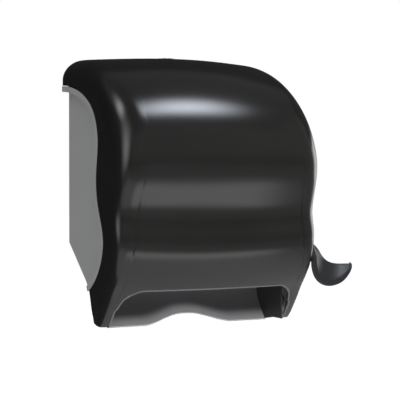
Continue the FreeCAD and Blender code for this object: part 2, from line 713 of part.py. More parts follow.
def side_frame(with_lever):
    """Right-hand side frame: plate with a foot, bearing holes and the pinch roller's slot."""
    low = floor_line(FLOOR_END_F - 6) + CHUTE_WALL + 4
    outline = [
        (FRAME_FOOT_F, FRAME_TOP, 3), (FRAME_FOOT_F, floor_line(FRAME_FOOT_F) + 6, 3),
        (FLOOR_END_F - 6, low, 6), (BRIDGE_F - 14, BRIDGE_H - 3, 10),
        (BRIDGE_F + BRIDGE_DEPTH + 5, BRIDGE_H - 3, 6), (ROLLER_F + 13, ROLLER_H, 9),
        (ROLLER_F + 8, ROLLER_H + 14, 8), (PINCH_F, ROLLER_H + 17, 8), (LEVER_F - 30, FRAME_TOP, 8),
    ]
    frame = side_plate(outline, FRAME_IN, FRAME_OUT)
    foot_in, foot_low = FRAME_IN - 16, FRAME_TOP - 18
    foot_outline = [
        (foot_in, foot_low, 3), (FRAME_OUT, foot_low), (FRAME_OUT, FRAME_TOP), (foot_in, FRAME_TOP, 3),
    ]
    foot = front_plate(foot_outline, FRAME_FOOT_F, FRAME_FOOT_F + FRAME_WALL)
    frame = frame.fuse(foot)
    cuts = [rod(FRAME_IN - 2, FRAME_OUT + 2, ROLLER_F, ROLLER_H, BUSH_R)]
    low, high = PINCH_H - BLOCK_HEIGHT / 2 - 0.1, PINCH_H + BLOCK_HEIGHT / 2 + 0.1
    rear = PINCH_F - BLOCK_LENGTH / 2 - PINCH_TRAVEL - SLIDE_GAP
    front = PINCH_F + BLOCK_LENGTH / 2 + SLIDE_GAP
    cuts.append(block(FRAME_IN - 2, FRAME_OUT + 2, rear, front, low, high))
    cuts += [stud(x, h, 0, 30, SCREW_R) for x, h in frame_screw_places()]
    for f, h in bridge_screw_places():
        cuts.append(rod(FRAME_IN - 2, FRAME_OUT + 2, f, h, SCREW_R))
    window = [(24, 112), (24, 98), (60, 76), (72, 76), (72, 104), (60, 112)]
    cuts.append(side_plate(window, FRAME_IN - 2, FRAME_OUT + 2, 5))
    if with_lever:
        boss = rod(SPRING_IN - 1.0, FRAME_IN + 0.5, LEVER_F, LEVER_H, SPRING_BOSS_R)
        frame = frame.fuse([boss, spring_peg(SPRING_TURNS, SPRING_SEAT, FRAME_IN + 0.5)])
        cuts.append(rod(SPRING_IN - 5, FRAME_OUT + 2, LEVER_F, LEVER_H, LEVER_SHAFT_R + RUNNING))
    return frame.cut(cuts)


def spring_peg(turns, gap, x1):
    """Peg across one hanging leg of the return spring, from just past the leg to x1."""
    point, heading = coil_point(turns)
    side = 1 if turns == 0 else -1
    foot = point - heading * (side * (SPRING_LEG - 3.0))
    f = -foot.y + side * (SPRING_WIRE_R + SPRING_PEG_R + gap)
    past = foot.x + side * (SPRING_WIRE_R + 1.0)
    return rod(min(past, x1), max(past, x1), f, foot.z + ORIGIN_H, SPRING_PEG_R)


def make_spring_catch():
    """Collar on the lever's shaft, whose peg pushes the free leg of the return spring."""
    x0, x1 = LEVER_SHAFT_END, SPRING_IN - 2.0
    collar = rod(x0, x1, LEVER_F, LEVER_H, LEVER_SHAFT_R + 3.0)
    peg = spring_peg(0, SLIDE_GAP, x0)
    box = peg.BoundBox
    middle_f, middle_h = -box.Center.y, box.Center.z + ORIGIN_H
    outline = [
        (LEVER_F - 4, LEVER_H), (LEVER_F + 7.5, LEVER_H), (middle_f + 2.5, middle_h - 2.5, 2.4),
        (middle_f - 2.5, middle_h - 2.5, 2.4),
    ]
    catch = collar.fuse([peg, side_plate(outline, x0, x1)])
    save("spring_catch", catch.cut(rod(x0 - 5, x1 + 5, LEVER_F, LEVER_H, LEVER_SHAFT_R)))


def bridge_screw_places():
    """Screws through the frames into the ends of the bridge, as f and h."""
    h = BRIDGE_H + BRIDGE_HEIGHT / 2
    return [(BRIDGE_F + 4, h), (BRIDGE_F + BRIDGE_DEPTH - 4, h)]


def make_frames():
    """Both side frames, with the screws of their feet."""
    save("right_side_frame", side_frame(True))
    save("left_side_frame", mirrored(side_frame(False)))
    screws = []
    for x, h in frame_screw_places():
        front = FRAME_FOOT_F + FRAME_WALL
        head = stud(x, h, front, front + SCREW_HEAD, SCREW_HEAD_R)
        screws.append(head.fuse(stud(x, h, 1.5, front, SCREW_R)))
    save("frame_screws", *screws)


def make_bridge():
    """Cross-piece under the feed roller, and the toothed bar that tears the towel."""
    f0, f1 = BRIDGE_F, BRIDGE_F + BRIDGE_DEPTH
    h0, h1 = BRIDGE_H, BRIDGE_H + BRIDGE_HEIGHT
    bridge = side_plate([(f0, h0), (f1, h0, 3), (f1, h1, 3), (f0, h1)], -FRAME_IN, FRAME_IN)
    half = FRAME_IN - 12
    pocket = block(-half, half, f0 + BRIDGE_WALL, f1 - BRIDGE_WALL, h0 - 5, h1 - BRIDGE_WALL)
    ribs = [block(x - 1, x + 1, f0 + 1, f1 - 1, h0, h1 - 1) for x in (-60, -30, 0, 30, 60)]
    bridge = bridge.cut(pocket).fuse(ribs)
    holes = []
    for f, h in bridge_screw_places():
        hole = rod(FRAME_IN - 8, FRAME_IN + 1, f, h, SCREW_R)
        holes += [hole, mirrored(hole)]
    middle_h = BRIDGE_H + BRIDGE_HEIGHT / 2
    holes += [stud(x, middle_h, f0 - 2, f0 + BRIDGE_WALL, SCREW_R) for x in BAR_SCREW_XS]
    save("front_bridge", bridge.cut(holes))
    screws = []
    for f, h in bridge_screw_places():
        head = rod(FRAME_OUT, FRAME_OUT + 1.0, f, h, SCREW_HEAD_R)
        screw = head.fuse(rod(FRAME_IN - 8, FRAME_OUT, f, h, SCREW_R))
        screws += [screw, mirrored(screw)]
    save("bridge_screws", *screws)


def make_tear_bar():
    """Serrated steel strip on the rear face of the bridge, with countersunk screws."""
    top = BRIDGE_H + BRIDGE_HEIGHT - 2
    root = BRIDGE_H - BAR_DROP + TOOTH_HEIGHT
    count = int(2 * BAR_HALF / TOOTH_PITCH)
    points = [(BAR_HALF, top), (-BAR_HALF, top)]
    for i in range(count):
        x = -BAR_HALF + i * TOOTH_PITCH
        points += [(x, root), (x + TOOTH_PITCH / 2, root - TOOTH_HEIGHT)]
    points.append((BAR_HALF, root))
    back, front = BRIDGE_F - BAR_WALL, BRIDGE_F
    bar = front_plate(points, back, front)
    screws = []
    h = BRIDGE_H + BRIDGE_HEIGHT / 2
    for x in BAR_SCREW_XS:
        cone = Part.makeCone(SCREW_R + 1.2, SCREW_R, BAR_WALL, at(x, back, h), Vector(0, -1, 0))
        bar = bar.cut(cone)
        screws.append(cone.fuse(stud(x, h, front, front + BRIDGE_WALL - 0.1, SCREW_R)))
    save("tear_bar", bar)
    save("tear_bar_screws", *screws)


def flanged_bush(seat, end, f, h, r, bore):
    """Bush along X, with a flange against the inner side of its wall."""
    rim = r + 1.5
    points = [(seat - 1.2, bore), (seat - 1.2, rim), (seat, rim), (seat, r), (end, r), (end, bore)]
    return lathe_x(points, f, h)


def make_feed_roller():
    """Feed roller: shaft, ribbed core, rubber sleeves, bushes and end clips."""
    clip_places = (-FRAME_OUT - 1.5, PINION_OUT + SLIDE_GAP + CLIP_WALL / 2)
    left, right = clip_places[0] - CLIP_BEHIND, clip_places[1] + CLIP_BEHIND
    shaft = chamfered_rod(left, right, ROLLER_F, ROLLER_H, ROLLER_SHAFT_R, 0.3)
    floor_r = ROLLER_SHAFT_R - CLIP_GROOVE
    grooves = []
    clips = []
    for x in clip_places:
        x0, x1 = x - CLIP_WALL / 2, x + CLIP_WALL / 2
        grooves.append(ring(x0, x1, ROLLER_F, ROLLER_H, ROLLER_SHAFT_R + 1, floor_r))
        clip = ring(x0, x1, ROLLER_F, ROLLER_H, ROLLER_SHAFT_R + 3, floor_r)
        gap = block(x - 2, x + 2, ROLLER_F - 2.2, ROLLER_F + 2.2, ROLLER_H, ROLLER_H + 12)
        clips.append(clip.cut(gap))
    save("feed_roller_shaft", shaft.cut(grooves))
    save("shaft_clips", *clips)
    core = ring(-CORE_HALF, CORE_HALF, ROLLER_F, ROLLER_H, ROLLER_CORE_R, ROLLER_SHAFT_R)
    sleeves = []
    for i in range(SLEEVE_COUNT):
        middle = (i - (SLEEVE_COUNT - 1) / 2) * SLEEVE_PITCH
        x0, x1 = middle - SLEEVE_LENGTH / 2, middle + SLEEVE_LENGTH / 2
        seat = ring(x0, x1, ROLLER_F, ROLLER_H, ROLLER_CORE_R + 1, ROLLER_CORE_R - 1)
        core = core.cut(seat)
        points = [(x0, ROLLER_CORE_R - 1), (x0, SLEEVE_R - 0.8), (x0 + 0.8, SLEEVE_R), (x1 - 0.8, SLEEVE_R),
                  (x1, SLEEVE_R - 0.8), (x1, ROLLER_CORE_R - 1)]
        sleeves.append(lathe_x(points, ROLLER_F, ROLLER_H))
    save("feed_roller_core", core)
    save("feed_roller_sleeves", *sleeves)
    bush = flanged_bush(FRAME_IN, FRAME_OUT + 0.6, ROLLER_F, ROLLER_H, BUSH_R, ROLLER_SHAFT_R + RUNNING)
    save("feed_roller_bushes", bush, mirrored(bush))


def make_pinch_roller():
    """Pinch roller with its shaft, its sliding blocks and the leaf springs behind them."""
    shaft_half = FRAME_OUT + 0.6
    save("pinch_shaft", chamfered_rod(-shaft_half, shaft_half, PINCH_F, PINCH_H, PINCH_SHAFT_R, 0.4))
    half = FRAME_IN - 8
    roller = chamfered_rod(-half, half, PINCH_F, PINCH_H, PINCH_R, 1.0)
    bore = rod(-half - 1, half + 1, PINCH_F, PINCH_H, PINCH_SHAFT_R + RUNNING)
    save("pinch_roller", roller.cut(bore))
    block_in = FRAME_IN - 5
    rear, front = PINCH_F - BLOCK_LENGTH / 2, PINCH_F + BLOCK_LENGTH / 2
    half = BLOCK_HEIGHT / 2
    body = block(block_in, FRAME_OUT + 0.6, rear, front, PINCH_H - half, PINCH_H + half)
    cheek_half = half + 1.5
    cheek = block(block_in, FRAME_IN - SLIDE_GAP, rear - 2, front, PINCH_H - cheek_half, PINCH_H + cheek_half)
    slider = body.fuse(cheek).cut(rod(block_in - 5, FRAME_OUT + 5, PINCH_F, PINCH_H, PINCH_SHAFT_R))
    save("pinch_bearing_blocks", slider, mirrored(slider))


def tooth_outline(teeth, tip, root, base, side):
    """Half angle of one tooth at the four radii of its flank, thinned for backlash."""
    pitch = GEAR_MODULE * teeth / 2
    alpha = math.radians(PRESSURE_ANGLE)
    half = math.pi / (2 * teeth) - BACKLASH / (2 * pitch)
    flank = []
    for r in (root, max(root, base), (base + 2 * pitch) / 3, pitch, (pitch + tip) / 2, tip):
        beta = math.acos(min(1.0, base / r)) if r > base else 0.0
        angle = half + (math.tan(alpha) - alpha) - (math.tan(beta) - beta)
        flank.append((r, side * angle))
    return flank


def gear_points(teeth, numbers, start):
    """Outline (f, h) offsets of a gear's teeth, the first centred on the start angle in radians."""
    pitch = GEAR_MODULE * teeth / 2
    base = pitch * math.cos(math.radians(PRESSURE_ANGLE))
    tip, root = pitch + GEAR_MODULE, pitch - 1.25 * GEAR_MODULE
    points = []
    for number in numbers:
        centre = start + number * 2 * math.pi / teeth
        rising = tooth_outline(teeth, tip, root, base, -1)
        falling = tooth_outline(teeth, tip, root, base, 1)[::-1]
        for r, angle in rising + falling:
            points.append((r * math.cos(centre + angle), r * math.sin(centre + angle)))
    return points


def gear_solid(points, f, h, x0, x1):
    """Gear blank from its outline about a centre."""
    corners = [at(x0, f + df, h + dh) for df, dh in points]
    return Part.Face(Part.makePolygon(corners + [corners[0]])).extrude(Vector(x1 - x0, 0, 0))


def make_gears():
    """Sector gear on the lever shaft, pinion in front of it and the one-way clutch in the pinion."""
    slope = math.radians(MESH_SLOPE)
    step = 2 * math.pi / SECTOR_TEETH
    points = gear_points(SECTOR_TEETH, range(-2, 7), slope + step / 2)
    sector = gear_solid([(0, 0)] + points, LEVER_F, LEVER_H, GEAR_IN, GEAR_OUT)
    hub = rod(GEAR_IN, PANEL_IN - 1.5, LEVER_F, LEVER_H, 9.5)
    windows = []
    for degrees in (MESH_SLOPE + 5, MESH_SLOPE + 33):
        t = math.radians(degrees)
        f, h = LEVER_F + 21 * math.cos(t), LEVER_H + 21 * math.sin(t)
        windows.append(rod(GEAR_IN - 1, GEAR_OUT + 1, f, h, 5.5))
    sector = sector.fuse(hub).cut(windows + [rod(GEAR_IN - 5, PANEL_IN, LEVER_F, LEVER_H, LEVER_SHAFT_R)])
    save("sector_gear", sector)
    pinion = gear_solid(gear_points(PINION_TEETH, range(PINION_TEETH), slope + math.pi),
                        ROLLER_F, ROLLER_H, GEAR_IN, PINION_OUT)
    save("drive_pinion", pinion.cut(rod(GEAR_IN - 5, PINION_OUT + 5, ROLLER_F, ROLLER_H, CLUTCH_R)))
    save("one_way_clutch", ring(GEAR_IN, PINION_OUT, ROLLER_F, ROLLER_H, CLUTCH_R, ROLLER_SHAFT_R + RUNNING))


def lever_lines():
    """Rear and front upper edges of the scoop, as (x, f, h) points from the arm to the tip."""
    x0 = LEVER_IN
    rear = [(x0 + 6.8, 152, 103), (x0 + 11, 152, 98), (x0 + 19, 152, 90), (x0 + 25, 152, 81),
            (x0 + 32, 153, 75), (x0 + 44, 154, 72), (x0 + 58, 159, 72)]
    front = [(x0 + 6.8, 168, 84), (x0 + 7.5, 168, 72), (x0 + 11, 168, 61), (x0 + 18, 168, 55),
             (x0 + 27, 168, 53.5), (x0 + 40, 168, 56), (x0 + 53, 165, 65)]
    return rear, front


def lever_scoop():
    """Twisted scoop, lofted through thin sections between its two edges."""
    rear, front = lever_lines()
    curves = []
    for line in (rear, front):
        curve = Part.BSplineCurve()
        curve.interpolate([at(*point) for point in line])
        curves.append(curve)
    stations = 15
    sections = []
    for i in range(stations):
        share = i / (stations - 1)
        ends = []
        for curve in curves:
            u = curve.FirstParameter + (curve.LastParameter - curve.FirstParameter) * share
            ends.append((curve.value(u), curve.tangent(u)[0]))
        across = ends[1][0] - ends[0][0]
        along = ends[0][1] + ends[1][1]
        normal = along.cross(across)
        normal.normalize()
        if normal.z > 0 or (i == 0 and normal.x > 0):
            normal = normal * -1
        wall = 6.0 - 3.4 * share
        a, b = ends[0][0], ends[1][0]
        sections.append(Part.makePolygon([a, b, b + normal * wall, a + normal * wall, a]))
    return Part.makeLoft(sections, True, True)


def make_lever():
    """Lever: hub in the recess, arm beside the cover and the scoop that the hand pushes."""
    hub = rod(PANEL_OUT + 1.5, LEVER_OUT, LEVER_F, LEVER_H, LEVER_HUB_R)
    outline = [
        (LEVER_F - 9, LEVER_H + 9, 9), (LEVER_F + 14, LEVER_H + 14, 20), (150, 104, 4), (156, 103, 3),
        (169, 82, 3), (164, 76, 4), (LEVER_F + 22, LEVER_H - 10, 20), (LEVER_F - 2, LEVER_H - 13, 9),
    ]
    arm = side_plate(outline, LEVER_IN, LEVER_OUT)
    lever = hub.fuse([arm, lever_scoop()])
    shaft_hole = rod(PANEL_OUT - 5, LEVER_OUT - 2.5, LEVER_F, LEVER_H, LEVER_SHAFT_R)
    screw_hole = rod(PANEL_OUT, LEVER_OUT + 5, LEVER_F, LEVER_H, SCREW_R)
    head_pocket = rod(LEVER_OUT - 1.2, LEVER_OUT + 5, LEVER_F, LEVER_H, 5.0)
    save("push_lever", lever.cut([shaft_hole, screw_hole, head_pocket]))
    shaft = chamfered_rod(LEVER_SHAFT_END, LEVER_OUT - 2.5, LEVER_F, LEVER_H, LEVER_SHAFT_R, 0.6)
    save("lever_shaft", shaft.cut(rod(LEVER_OUT - 12, LEVER_OUT, LEVER_F, LEVER_H, SCREW_R)))
    head = rod(LEVER_OUT - 1.2, LEVER_OUT + 0.8, LEVER_F, LEVER_H, 4.6)
    socket = rod(LEVER_OUT - 0.4, LEVER_OUT + 2, LEVER_F, LEVER_H, 2.0)
    stem = rod(LEVER_OUT - 12, LEVER_OUT - 1.2, LEVER_F, LEVER_H, SCREW_R)
    save("lever_screw", head.cut(socket).fuse(stem))
    bore = LEVER_SHAFT_R + RUNNING
    save("lever_bush", flanged_bush(PANEL_IN, PANEL_OUT + 0.8, LEVER_F, LEVER_H, LEVER_BUSH_R, bore))


def coil_point(turns):
    """Point and unit heading of the return spring's centre line after a number of turns."""
    t = 2 * math.pi * turns
    x = SPRING_IN + SPRING_PITCH * turns
    point = at(x, LEVER_F + SPRING_R * math.cos(t), LEVER_H + SPRING_R * math.sin(t))
    heading = Vector(SPRING_PITCH / (2 * math.pi), SPRING_R * math.sin(t), SPRING_R * math.cos(t))
    heading.normalize()
    return point, heading


def wire_section(centre, heading):
    """Outline of the return spring's wire, square to its heading."""
    across = heading.cross(Vector(1, 0, 0))
    across.normalize()
    up = heading.cross(across)
    corners = []
    for i in range(SPRING_WIRE_FLATS):
        t = 2 * math.pi * i / SPRING_WIRE_FLATS
        corners.append(centre + (across * math.cos(t) + up * math.sin(t)) * SPRING_WIRE_R)
    return Part.makePolygon(corners + [corners[0]])


def make_return_spring():
    """Torsion spring round the frame's boss: one unbroken wire, with a straight leg at each end."""
    half_turns = round(2 * SPRING_TURNS)
    coil = joined([coil_point(i / 2) for i in range(half_turns + 1)])
    first, last = coil[0], coil[-1]
    leg_start = first[0] - first[1] * SPRING_LEG
    leg_end = last[0] + last[1] * SPRING_LEG
    path = Part.Wire(lines([leg_start, first[0]]) + arcs(coil) + lines([last[0], leg_end]))
    section = wire_section(leg_start, first[1])
    save("lever_return_spring", path.makePipeShell([section], True, False))
    points = [coil_point(i / 60)[0] for i in range(round(60 * SPRING_TURNS) + 1)]
    least = min((p - q).Length for i, p in enumerate(points) for q in points[i + 30:])
    print("least gap between the return spring's turns", round(least - 2 * SPRING_WIRE_R, 2))


def make_pinch_springs():
    """Steel leaves on the frames, which press the pinch roller's blocks forward."""
    root_f, root_h = PINCH_F - 22, FRAME_TOP - 10
    end_f = PINCH_F - BLOCK_LENGTH / 2 - 2 - SLIDE_GAP
    places = [(root_f, root_h), (root_f + 7, root_h - 3), (end_f - 2, PINCH_H + 6), (end_f, PINCH_H - 2)]
    leaf = band(followed(spline(places), 5), LEAF_WALL, FRAME_IN - 4.5, FRAME_IN)
    save("pinch_springs", leaf, mirrored(leaf))


def roll_arm():
    """Right-hand roll arm: knuckle, tapered plate with a rib, and the hub's axle."""
    pivot_x = (ARM_IN + ARM_OUT) / 2
    low, high = ROLL_H - ARM_HALF_HEIGHT, ROLL_H + ARM_HALF_HEIGHT
    knuckle = post(pivot_x, ARM_PIVOT_F, low, high - SLIDE_GAP, ARM_KNUCKLE_R - 0.5)
    disc = HUB_FLANGE_R - 2
    outline = [
        (ARM_PIVOT_F, low + 1), (ROLL_F - 6, ROLL_H - disc, 20), (ROLL_F + disc, ROLL_H - disc, disc - 1),
        (ROLL_F + disc, ROLL_H + disc, disc - 1), (ROLL_F - 6, ROLL_H + disc, 20), (ARM_PIVOT_F, high - 1.5),
    ]
    plate = side_plate(outline, ARM_IN, ARM_OUT)
    rib = side_plate([(ARM_PIVOT_F + 4, ROLL_H - 2), (ROLL_F - 8, ROLL_H - 2), (ROLL_F - 8, ROLL_H + 2),
                      (ARM_PIVOT_F + 4, ROLL_H + 2)], ARM_OUT - 0.5, ARM_OUT + 1.5)
    axle = rod(ARM_IN - HUB_REACH + 0.5, ARM_IN + 1, ROLL_F, ROLL_H, HUB_AXLE_R)
    arm = plate.fuse([knuckle, rib, axle])
    groove_x = ARM_IN - HUB_REACH + 1.5
    groove = ring(groove_x - 0.4, groove_x + 0.4, ROLL_F, ROLL_H, HUB_AXLE_R + 1, HUB_AXLE_R - 0.7)
    return arm.cut([post(pivot_x, ARM_PIVOT_F, low - 5, high + 5, ARM_PIN_R + RUNNING), groove])


def roll_hub():
    """Right-hand plug that holds the roll's core: flange, barrel with a chamfer, and a hollow end."""
    x1 = ARM_IN - SLIDE_GAP
    x0 = ARM_IN - HUB_REACH
    bore = HUB_AXLE_R + RUNNING
    points = [
        (x1, bore), (x1, HUB_FLANGE_R), (x1 - 1.8, HUB_FLANGE_R), (x1 - 1.8, HUB_R), (x0 + 2.5, HUB_R),
        (x0 + 0.5, HUB_R - 3), (x0 + 0.5, HUB_R - 6), (x0 + 4.5, HUB_R - 6), (x0 + 4.5, HUB_AXLE_R + 4),
        (x0 + 2.2, HUB_AXLE_R + 4), (x0 + 2.2, bore),
    ]
    return lathe_x(points, ROLL_F, ROLL_H)


def make_roll_holder():
    """Both arms with their hubs, clips and pivot pins."""
    arm, hub = roll_arm(), roll_hub()
    groove_x = ARM_IN - HUB_REACH + 1.5
    clip = ring(groove_x - 0.4, groove_x + 0.4, ROLL_F, ROLL_H, HUB_AXLE_R + 2.5, HUB_AXLE_R - 0.7)
    clip = clip.cut(block(groove_x - 2, groove_x + 2, ROLL_F - 2, ROLL_F + 2, ROLL_H, ROLL_H + 10))
    save("right_roll_arm", arm)
    save("left_roll_arm", mirrored(arm))
    save("right_roll_hub", hub)
    save("left_roll_hub", mirrored(hub))
    save("right_hub_clip", clip)
    save("left_hub_clip", mirrored(clip))
    pivot_x = (ARM_IN + ARM_OUT) / 2
    low, high = ROLL_H - ARM_HALF_HEIGHT - 10, ROLL_H + ARM_HALF_HEIGHT + 10
    head = post(pivot_x, ARM_PIVOT_F, high, high + 1.2, ARM_PIN_R + 1.3)
    pin = head.fuse(post(pivot_x, ARM_PIVOT_F, low, high, ARM_PIN_R))
    save("arm_pivot_pins", pin, mirrored(pin))


def main():
    """Build every sub-part."""
    os.makedirs("parts", exist_ok=True)
    make_cover()
    make_lock()
    make_keeper()
    make_housing()
    make_hinge_pins()
    make_chute()
    make_frames()
    make_bridge()
    make_tear_bar()
    make_feed_roller()
    make_pinch_roller()
    make_pinch_springs()
    make_gears()
    make_lever()
    make_spring_catch()
    make_return_spring()
    make_roll_holder()


main()
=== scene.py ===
import logging
import math
from dataclasses import dataclass, field
from enum import Enum

import bpy
import numpy as np
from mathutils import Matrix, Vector


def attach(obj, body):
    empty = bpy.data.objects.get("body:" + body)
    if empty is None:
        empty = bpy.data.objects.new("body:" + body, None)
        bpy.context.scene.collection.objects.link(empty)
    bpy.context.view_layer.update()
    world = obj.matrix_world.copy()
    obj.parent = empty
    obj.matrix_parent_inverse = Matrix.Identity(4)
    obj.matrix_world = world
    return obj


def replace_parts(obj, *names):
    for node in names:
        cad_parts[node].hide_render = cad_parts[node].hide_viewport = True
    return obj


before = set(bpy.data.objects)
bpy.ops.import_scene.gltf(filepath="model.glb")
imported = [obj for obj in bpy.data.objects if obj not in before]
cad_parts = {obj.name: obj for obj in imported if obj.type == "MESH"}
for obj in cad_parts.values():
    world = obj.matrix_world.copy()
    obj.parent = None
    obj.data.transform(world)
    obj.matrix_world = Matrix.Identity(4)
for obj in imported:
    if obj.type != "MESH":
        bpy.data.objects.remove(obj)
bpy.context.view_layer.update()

LOG = logging.getLogger("dispenser")
ORIGIN_H = 190.0
MM = 0.001
CARD_CORNERS = ((-1, -1), (1, -1), (1, 1), (-1, 1))
Pair = tuple[float, float]
Triple = tuple[float, float, float]
Piece = bpy.types.Object
Nodes = bpy.types.Nodes
Links = bpy.types.NodeLinks
Socket = bpy.types.NodeSocket


# ---- Curves and frames

def place(x: np.ndarray | float, f: np.ndarray | float, h: np.ndarray | float) -> np.ndarray:
    """Points in metres from side, forward and height values in millimetres.

    Args:
        x: distance to the right of the middle.
        f: distance forward of the wall.
        h: height above the chute's lowest edge.

    Returns:
        Array whose last axis holds x, y and z.
    """
    x, f, h = np.broadcast_arrays(np.asarray(x, float), np.asarray(f, float), np.asarray(h, float))
    return np.stack([x, -f, h - ORIGIN_H], axis=-1) * MM


class Smooth:
    """Cubic spline through points, straight at both ends, over the length of their chords."""

    def __init__(self, points: list[tuple[float, ...]]) -> None:
        """Solve the second derivatives that keep slope and bend continuous at every point.

        Args:
            points: the points that the curve passes, each of the same number of values.
        """
        self.values = np.array(points, float)
        steps = np.linalg.norm(np.diff(self.values, axis=0), axis=1)
        self.knots = np.concatenate([[0.0], np.cumsum(steps)])
        count = len(self.values)
        matrix = np.eye(count)
        right = np.zeros_like(self.values)
        for i in range(1, count - 1):
            before, after = steps[i - 1], steps[i]
            matrix[i, i - 1:i + 2] = before, 2 * (before + after), after
            right[i] = 6 * ((self.values[i + 1] - self.values[i]) / after
                            - (self.values[i] - self.values[i - 1]) / before)
        self.bends = np.linalg.solve(matrix, right)

    def sample(self, count: int) -> np.ndarray:
        """Evenly spaced points on the curve: each cubic is blended from its ends and their bends."""
        t = np.linspace(0.0, self.knots[-1], count)
        i = np.clip(np.searchsorted(self.knots, t) - 1, 0, len(self.knots) - 2)
        width = self.knots[i + 1] - self.knots[i]
        a = ((self.knots[i + 1] - t) / width)[:, None]
        b = ((t - self.knots[i]) / width)[:, None]
        bend = ((a ** 3 - a) * self.bends[i] + (b ** 3 - b) * self.bends[i + 1]) * (width ** 2)[:, None] / 6
        return a * self.values[i] + b * self.values[i + 1] + bend


def polar(points: np.ndarray, centre: Pair, degrees: np.ndarray) -> np.ndarray:
    """Distance from a centre to a curve in each direction, read off the curve's own points.

    Args:
        points: (f, h) points along the curve, which goes round the centre one way.
        centre: the centre as (f, h).
        degrees: directions, from level forward towards up.

    Returns:
        Distances, in the shape of degrees.
    """
    off = points - np.array(centre)
    angle = np.degrees(np.unwrap(np.arctan2(off[:, 1], off[:, 0])))
    order = np.argsort(angle)
    return np.interp(degrees, angle[order], np.hypot(off[:, 0], off[:, 1])[order])


def unit(vectors: np.ndarray) -> np.ndarray:
    """Vectors of length one along the last axis."""
    return vectors / np.maximum(np.linalg.norm(vectors, axis=-1, keepdims=True), 1e-12)


def surface_normals(grid: np.ndarray) -> np.ndarray:
    """Cross product of a grid's two tangents, each a central difference of its points."""
    return unit(np.cross(np.gradient(grid, axis=0), np.gradient(grid, axis=1)))


# ---- Meshes

def make_object(name: str, points: np.ndarray, faces: list | np.ndarray, smooth: bool = True) -> Piece:
    """Mesh object at the origin from points in metres.

    Args:
        name: the piece's name.
        points: array of points.
        faces: vertex numbers of each face.
        smooth: whether its faces are shaded smooth.

    Returns:
        The new object, linked to the scene.
    """
    mesh = bpy.data.meshes.new(name)
    lists = faces.tolist() if isinstance(faces, np.ndarray) else faces
    mesh.from_pydata(np.asarray(points, float).reshape(-1, 3).tolist(), [], lists)
    mesh.polygons.foreach_set("use_smooth", np.full(len(mesh.polygons), smooth))
    mesh.update()
    piece = bpy.data.objects.new(name, mesh)
    bpy.context.scene.collection.objects.link(piece)
    return piece


def grid_faces(rows: int, columns: int, start: int = 0, wrap: bool = False, flip: bool = False) -> np.ndarray:
    """Quads of a grid whose vertices are numbered row by row.

    Args:
        rows: vertices along the first axis.
        columns: vertices along the second axis.
        start: number of the grid's first vertex.
        wrap: whether the second axis closes on itself.
        flip: whether the faces turn the other way.

    Returns:
        Array of four vertex numbers to a face.
    """
    i, j = np.meshgrid(np.arange(rows - 1), np.arange(columns if wrap else columns - 1), indexing="ij")
    k = (j + 1) % columns
    quads = np.stack([i * columns + j, (i + 1) * columns + j, (i + 1) * columns + k, i * columns + k], axis=-1)
    quads = quads.reshape(-1, 4) + start
    return quads[:, ::-1] if flip else quads


def weigh_normals(piece: Piece) -> None:
    """Let large faces lead the shading, so that narrow rounded edges stay crisp."""
    modifier = piece.modifiers.new("weighted", "WEIGHTED_NORMAL")
    modifier.keep_sharp = False
    modifier.weight = 80


def rim_profile(wall: float, round_r: float) -> list[Pair]:
    """Offsets (outward, deep) of the rounded rim between a wall's two faces."""
    steps = [math.radians(d) for d in (30, 60, 90)]
    near = [(-round_r + round_r * math.sin(t), round_r - round_r * math.cos(t)) for t in steps]
    far = [(o, wall - d) for o, d in near[::-1]]
    return near + far


def walled(name: str, grid: np.ndarray, wall: float, round_r: float = 0.6) -> Piece:
    """Closed wall under a surface: the surface, its copy moved back along the normals, and a rounded rim.

    Each rim point is the border's point plus an outward and a deep offset, where outward is the
    cross product of the border's own direction and the surface normal.

    Args:
        name: the piece's name.
        grid: outer surface in metres, rows by columns by three, whose normals point outwards.
        wall: thickness in millimetres.
        round_r: radius of the rim's edges in millimetres.

    Returns:
        The new object.
    """
    rows, columns = grid.shape[:2]
    normals = surface_normals(grid)
    numbers = np.arange(rows * columns).reshape(rows, columns)
    border = np.concatenate([numbers[:, 0], numbers[-1, 1:], numbers[-2::-1, -1], numbers[0, -2:0:-1]])
    outer = grid.reshape(-1, 3).copy()
    flat_normals = normals.reshape(-1, 3)
    edge, edge_normals = outer[border], flat_normals[border]
    ahead = unit(np.roll(edge, -1, axis=0) - np.roll(edge, 1, axis=0))
    outward = unit(np.cross(ahead, edge_normals))
    outer[border] = edge - outward * round_r * MM
    inner = outer - flat_normals * wall * MM
    rim = [edge + outward * o * MM - edge_normals * d * MM for o, d in rim_profile(wall, round_r)]
    total = rows * columns
    between = [2 * total + k * len(border) + np.arange(len(border)) for k in range(len(rim))]
    loops = [border, *between, border + total]
    faces = [grid_faces(rows, columns), grid_faces(rows, columns, total, flip=True)]
    for a, b in zip(loops[:-1], loops[1:]):
        faces.append(np.stack([a, b, np.roll(b, -1), np.roll(a, -1)], axis=-1))
    piece = make_object(name, np.concatenate([outer, inner] + rim), np.concatenate(faces))
    weigh_normals(piece)
    return piece


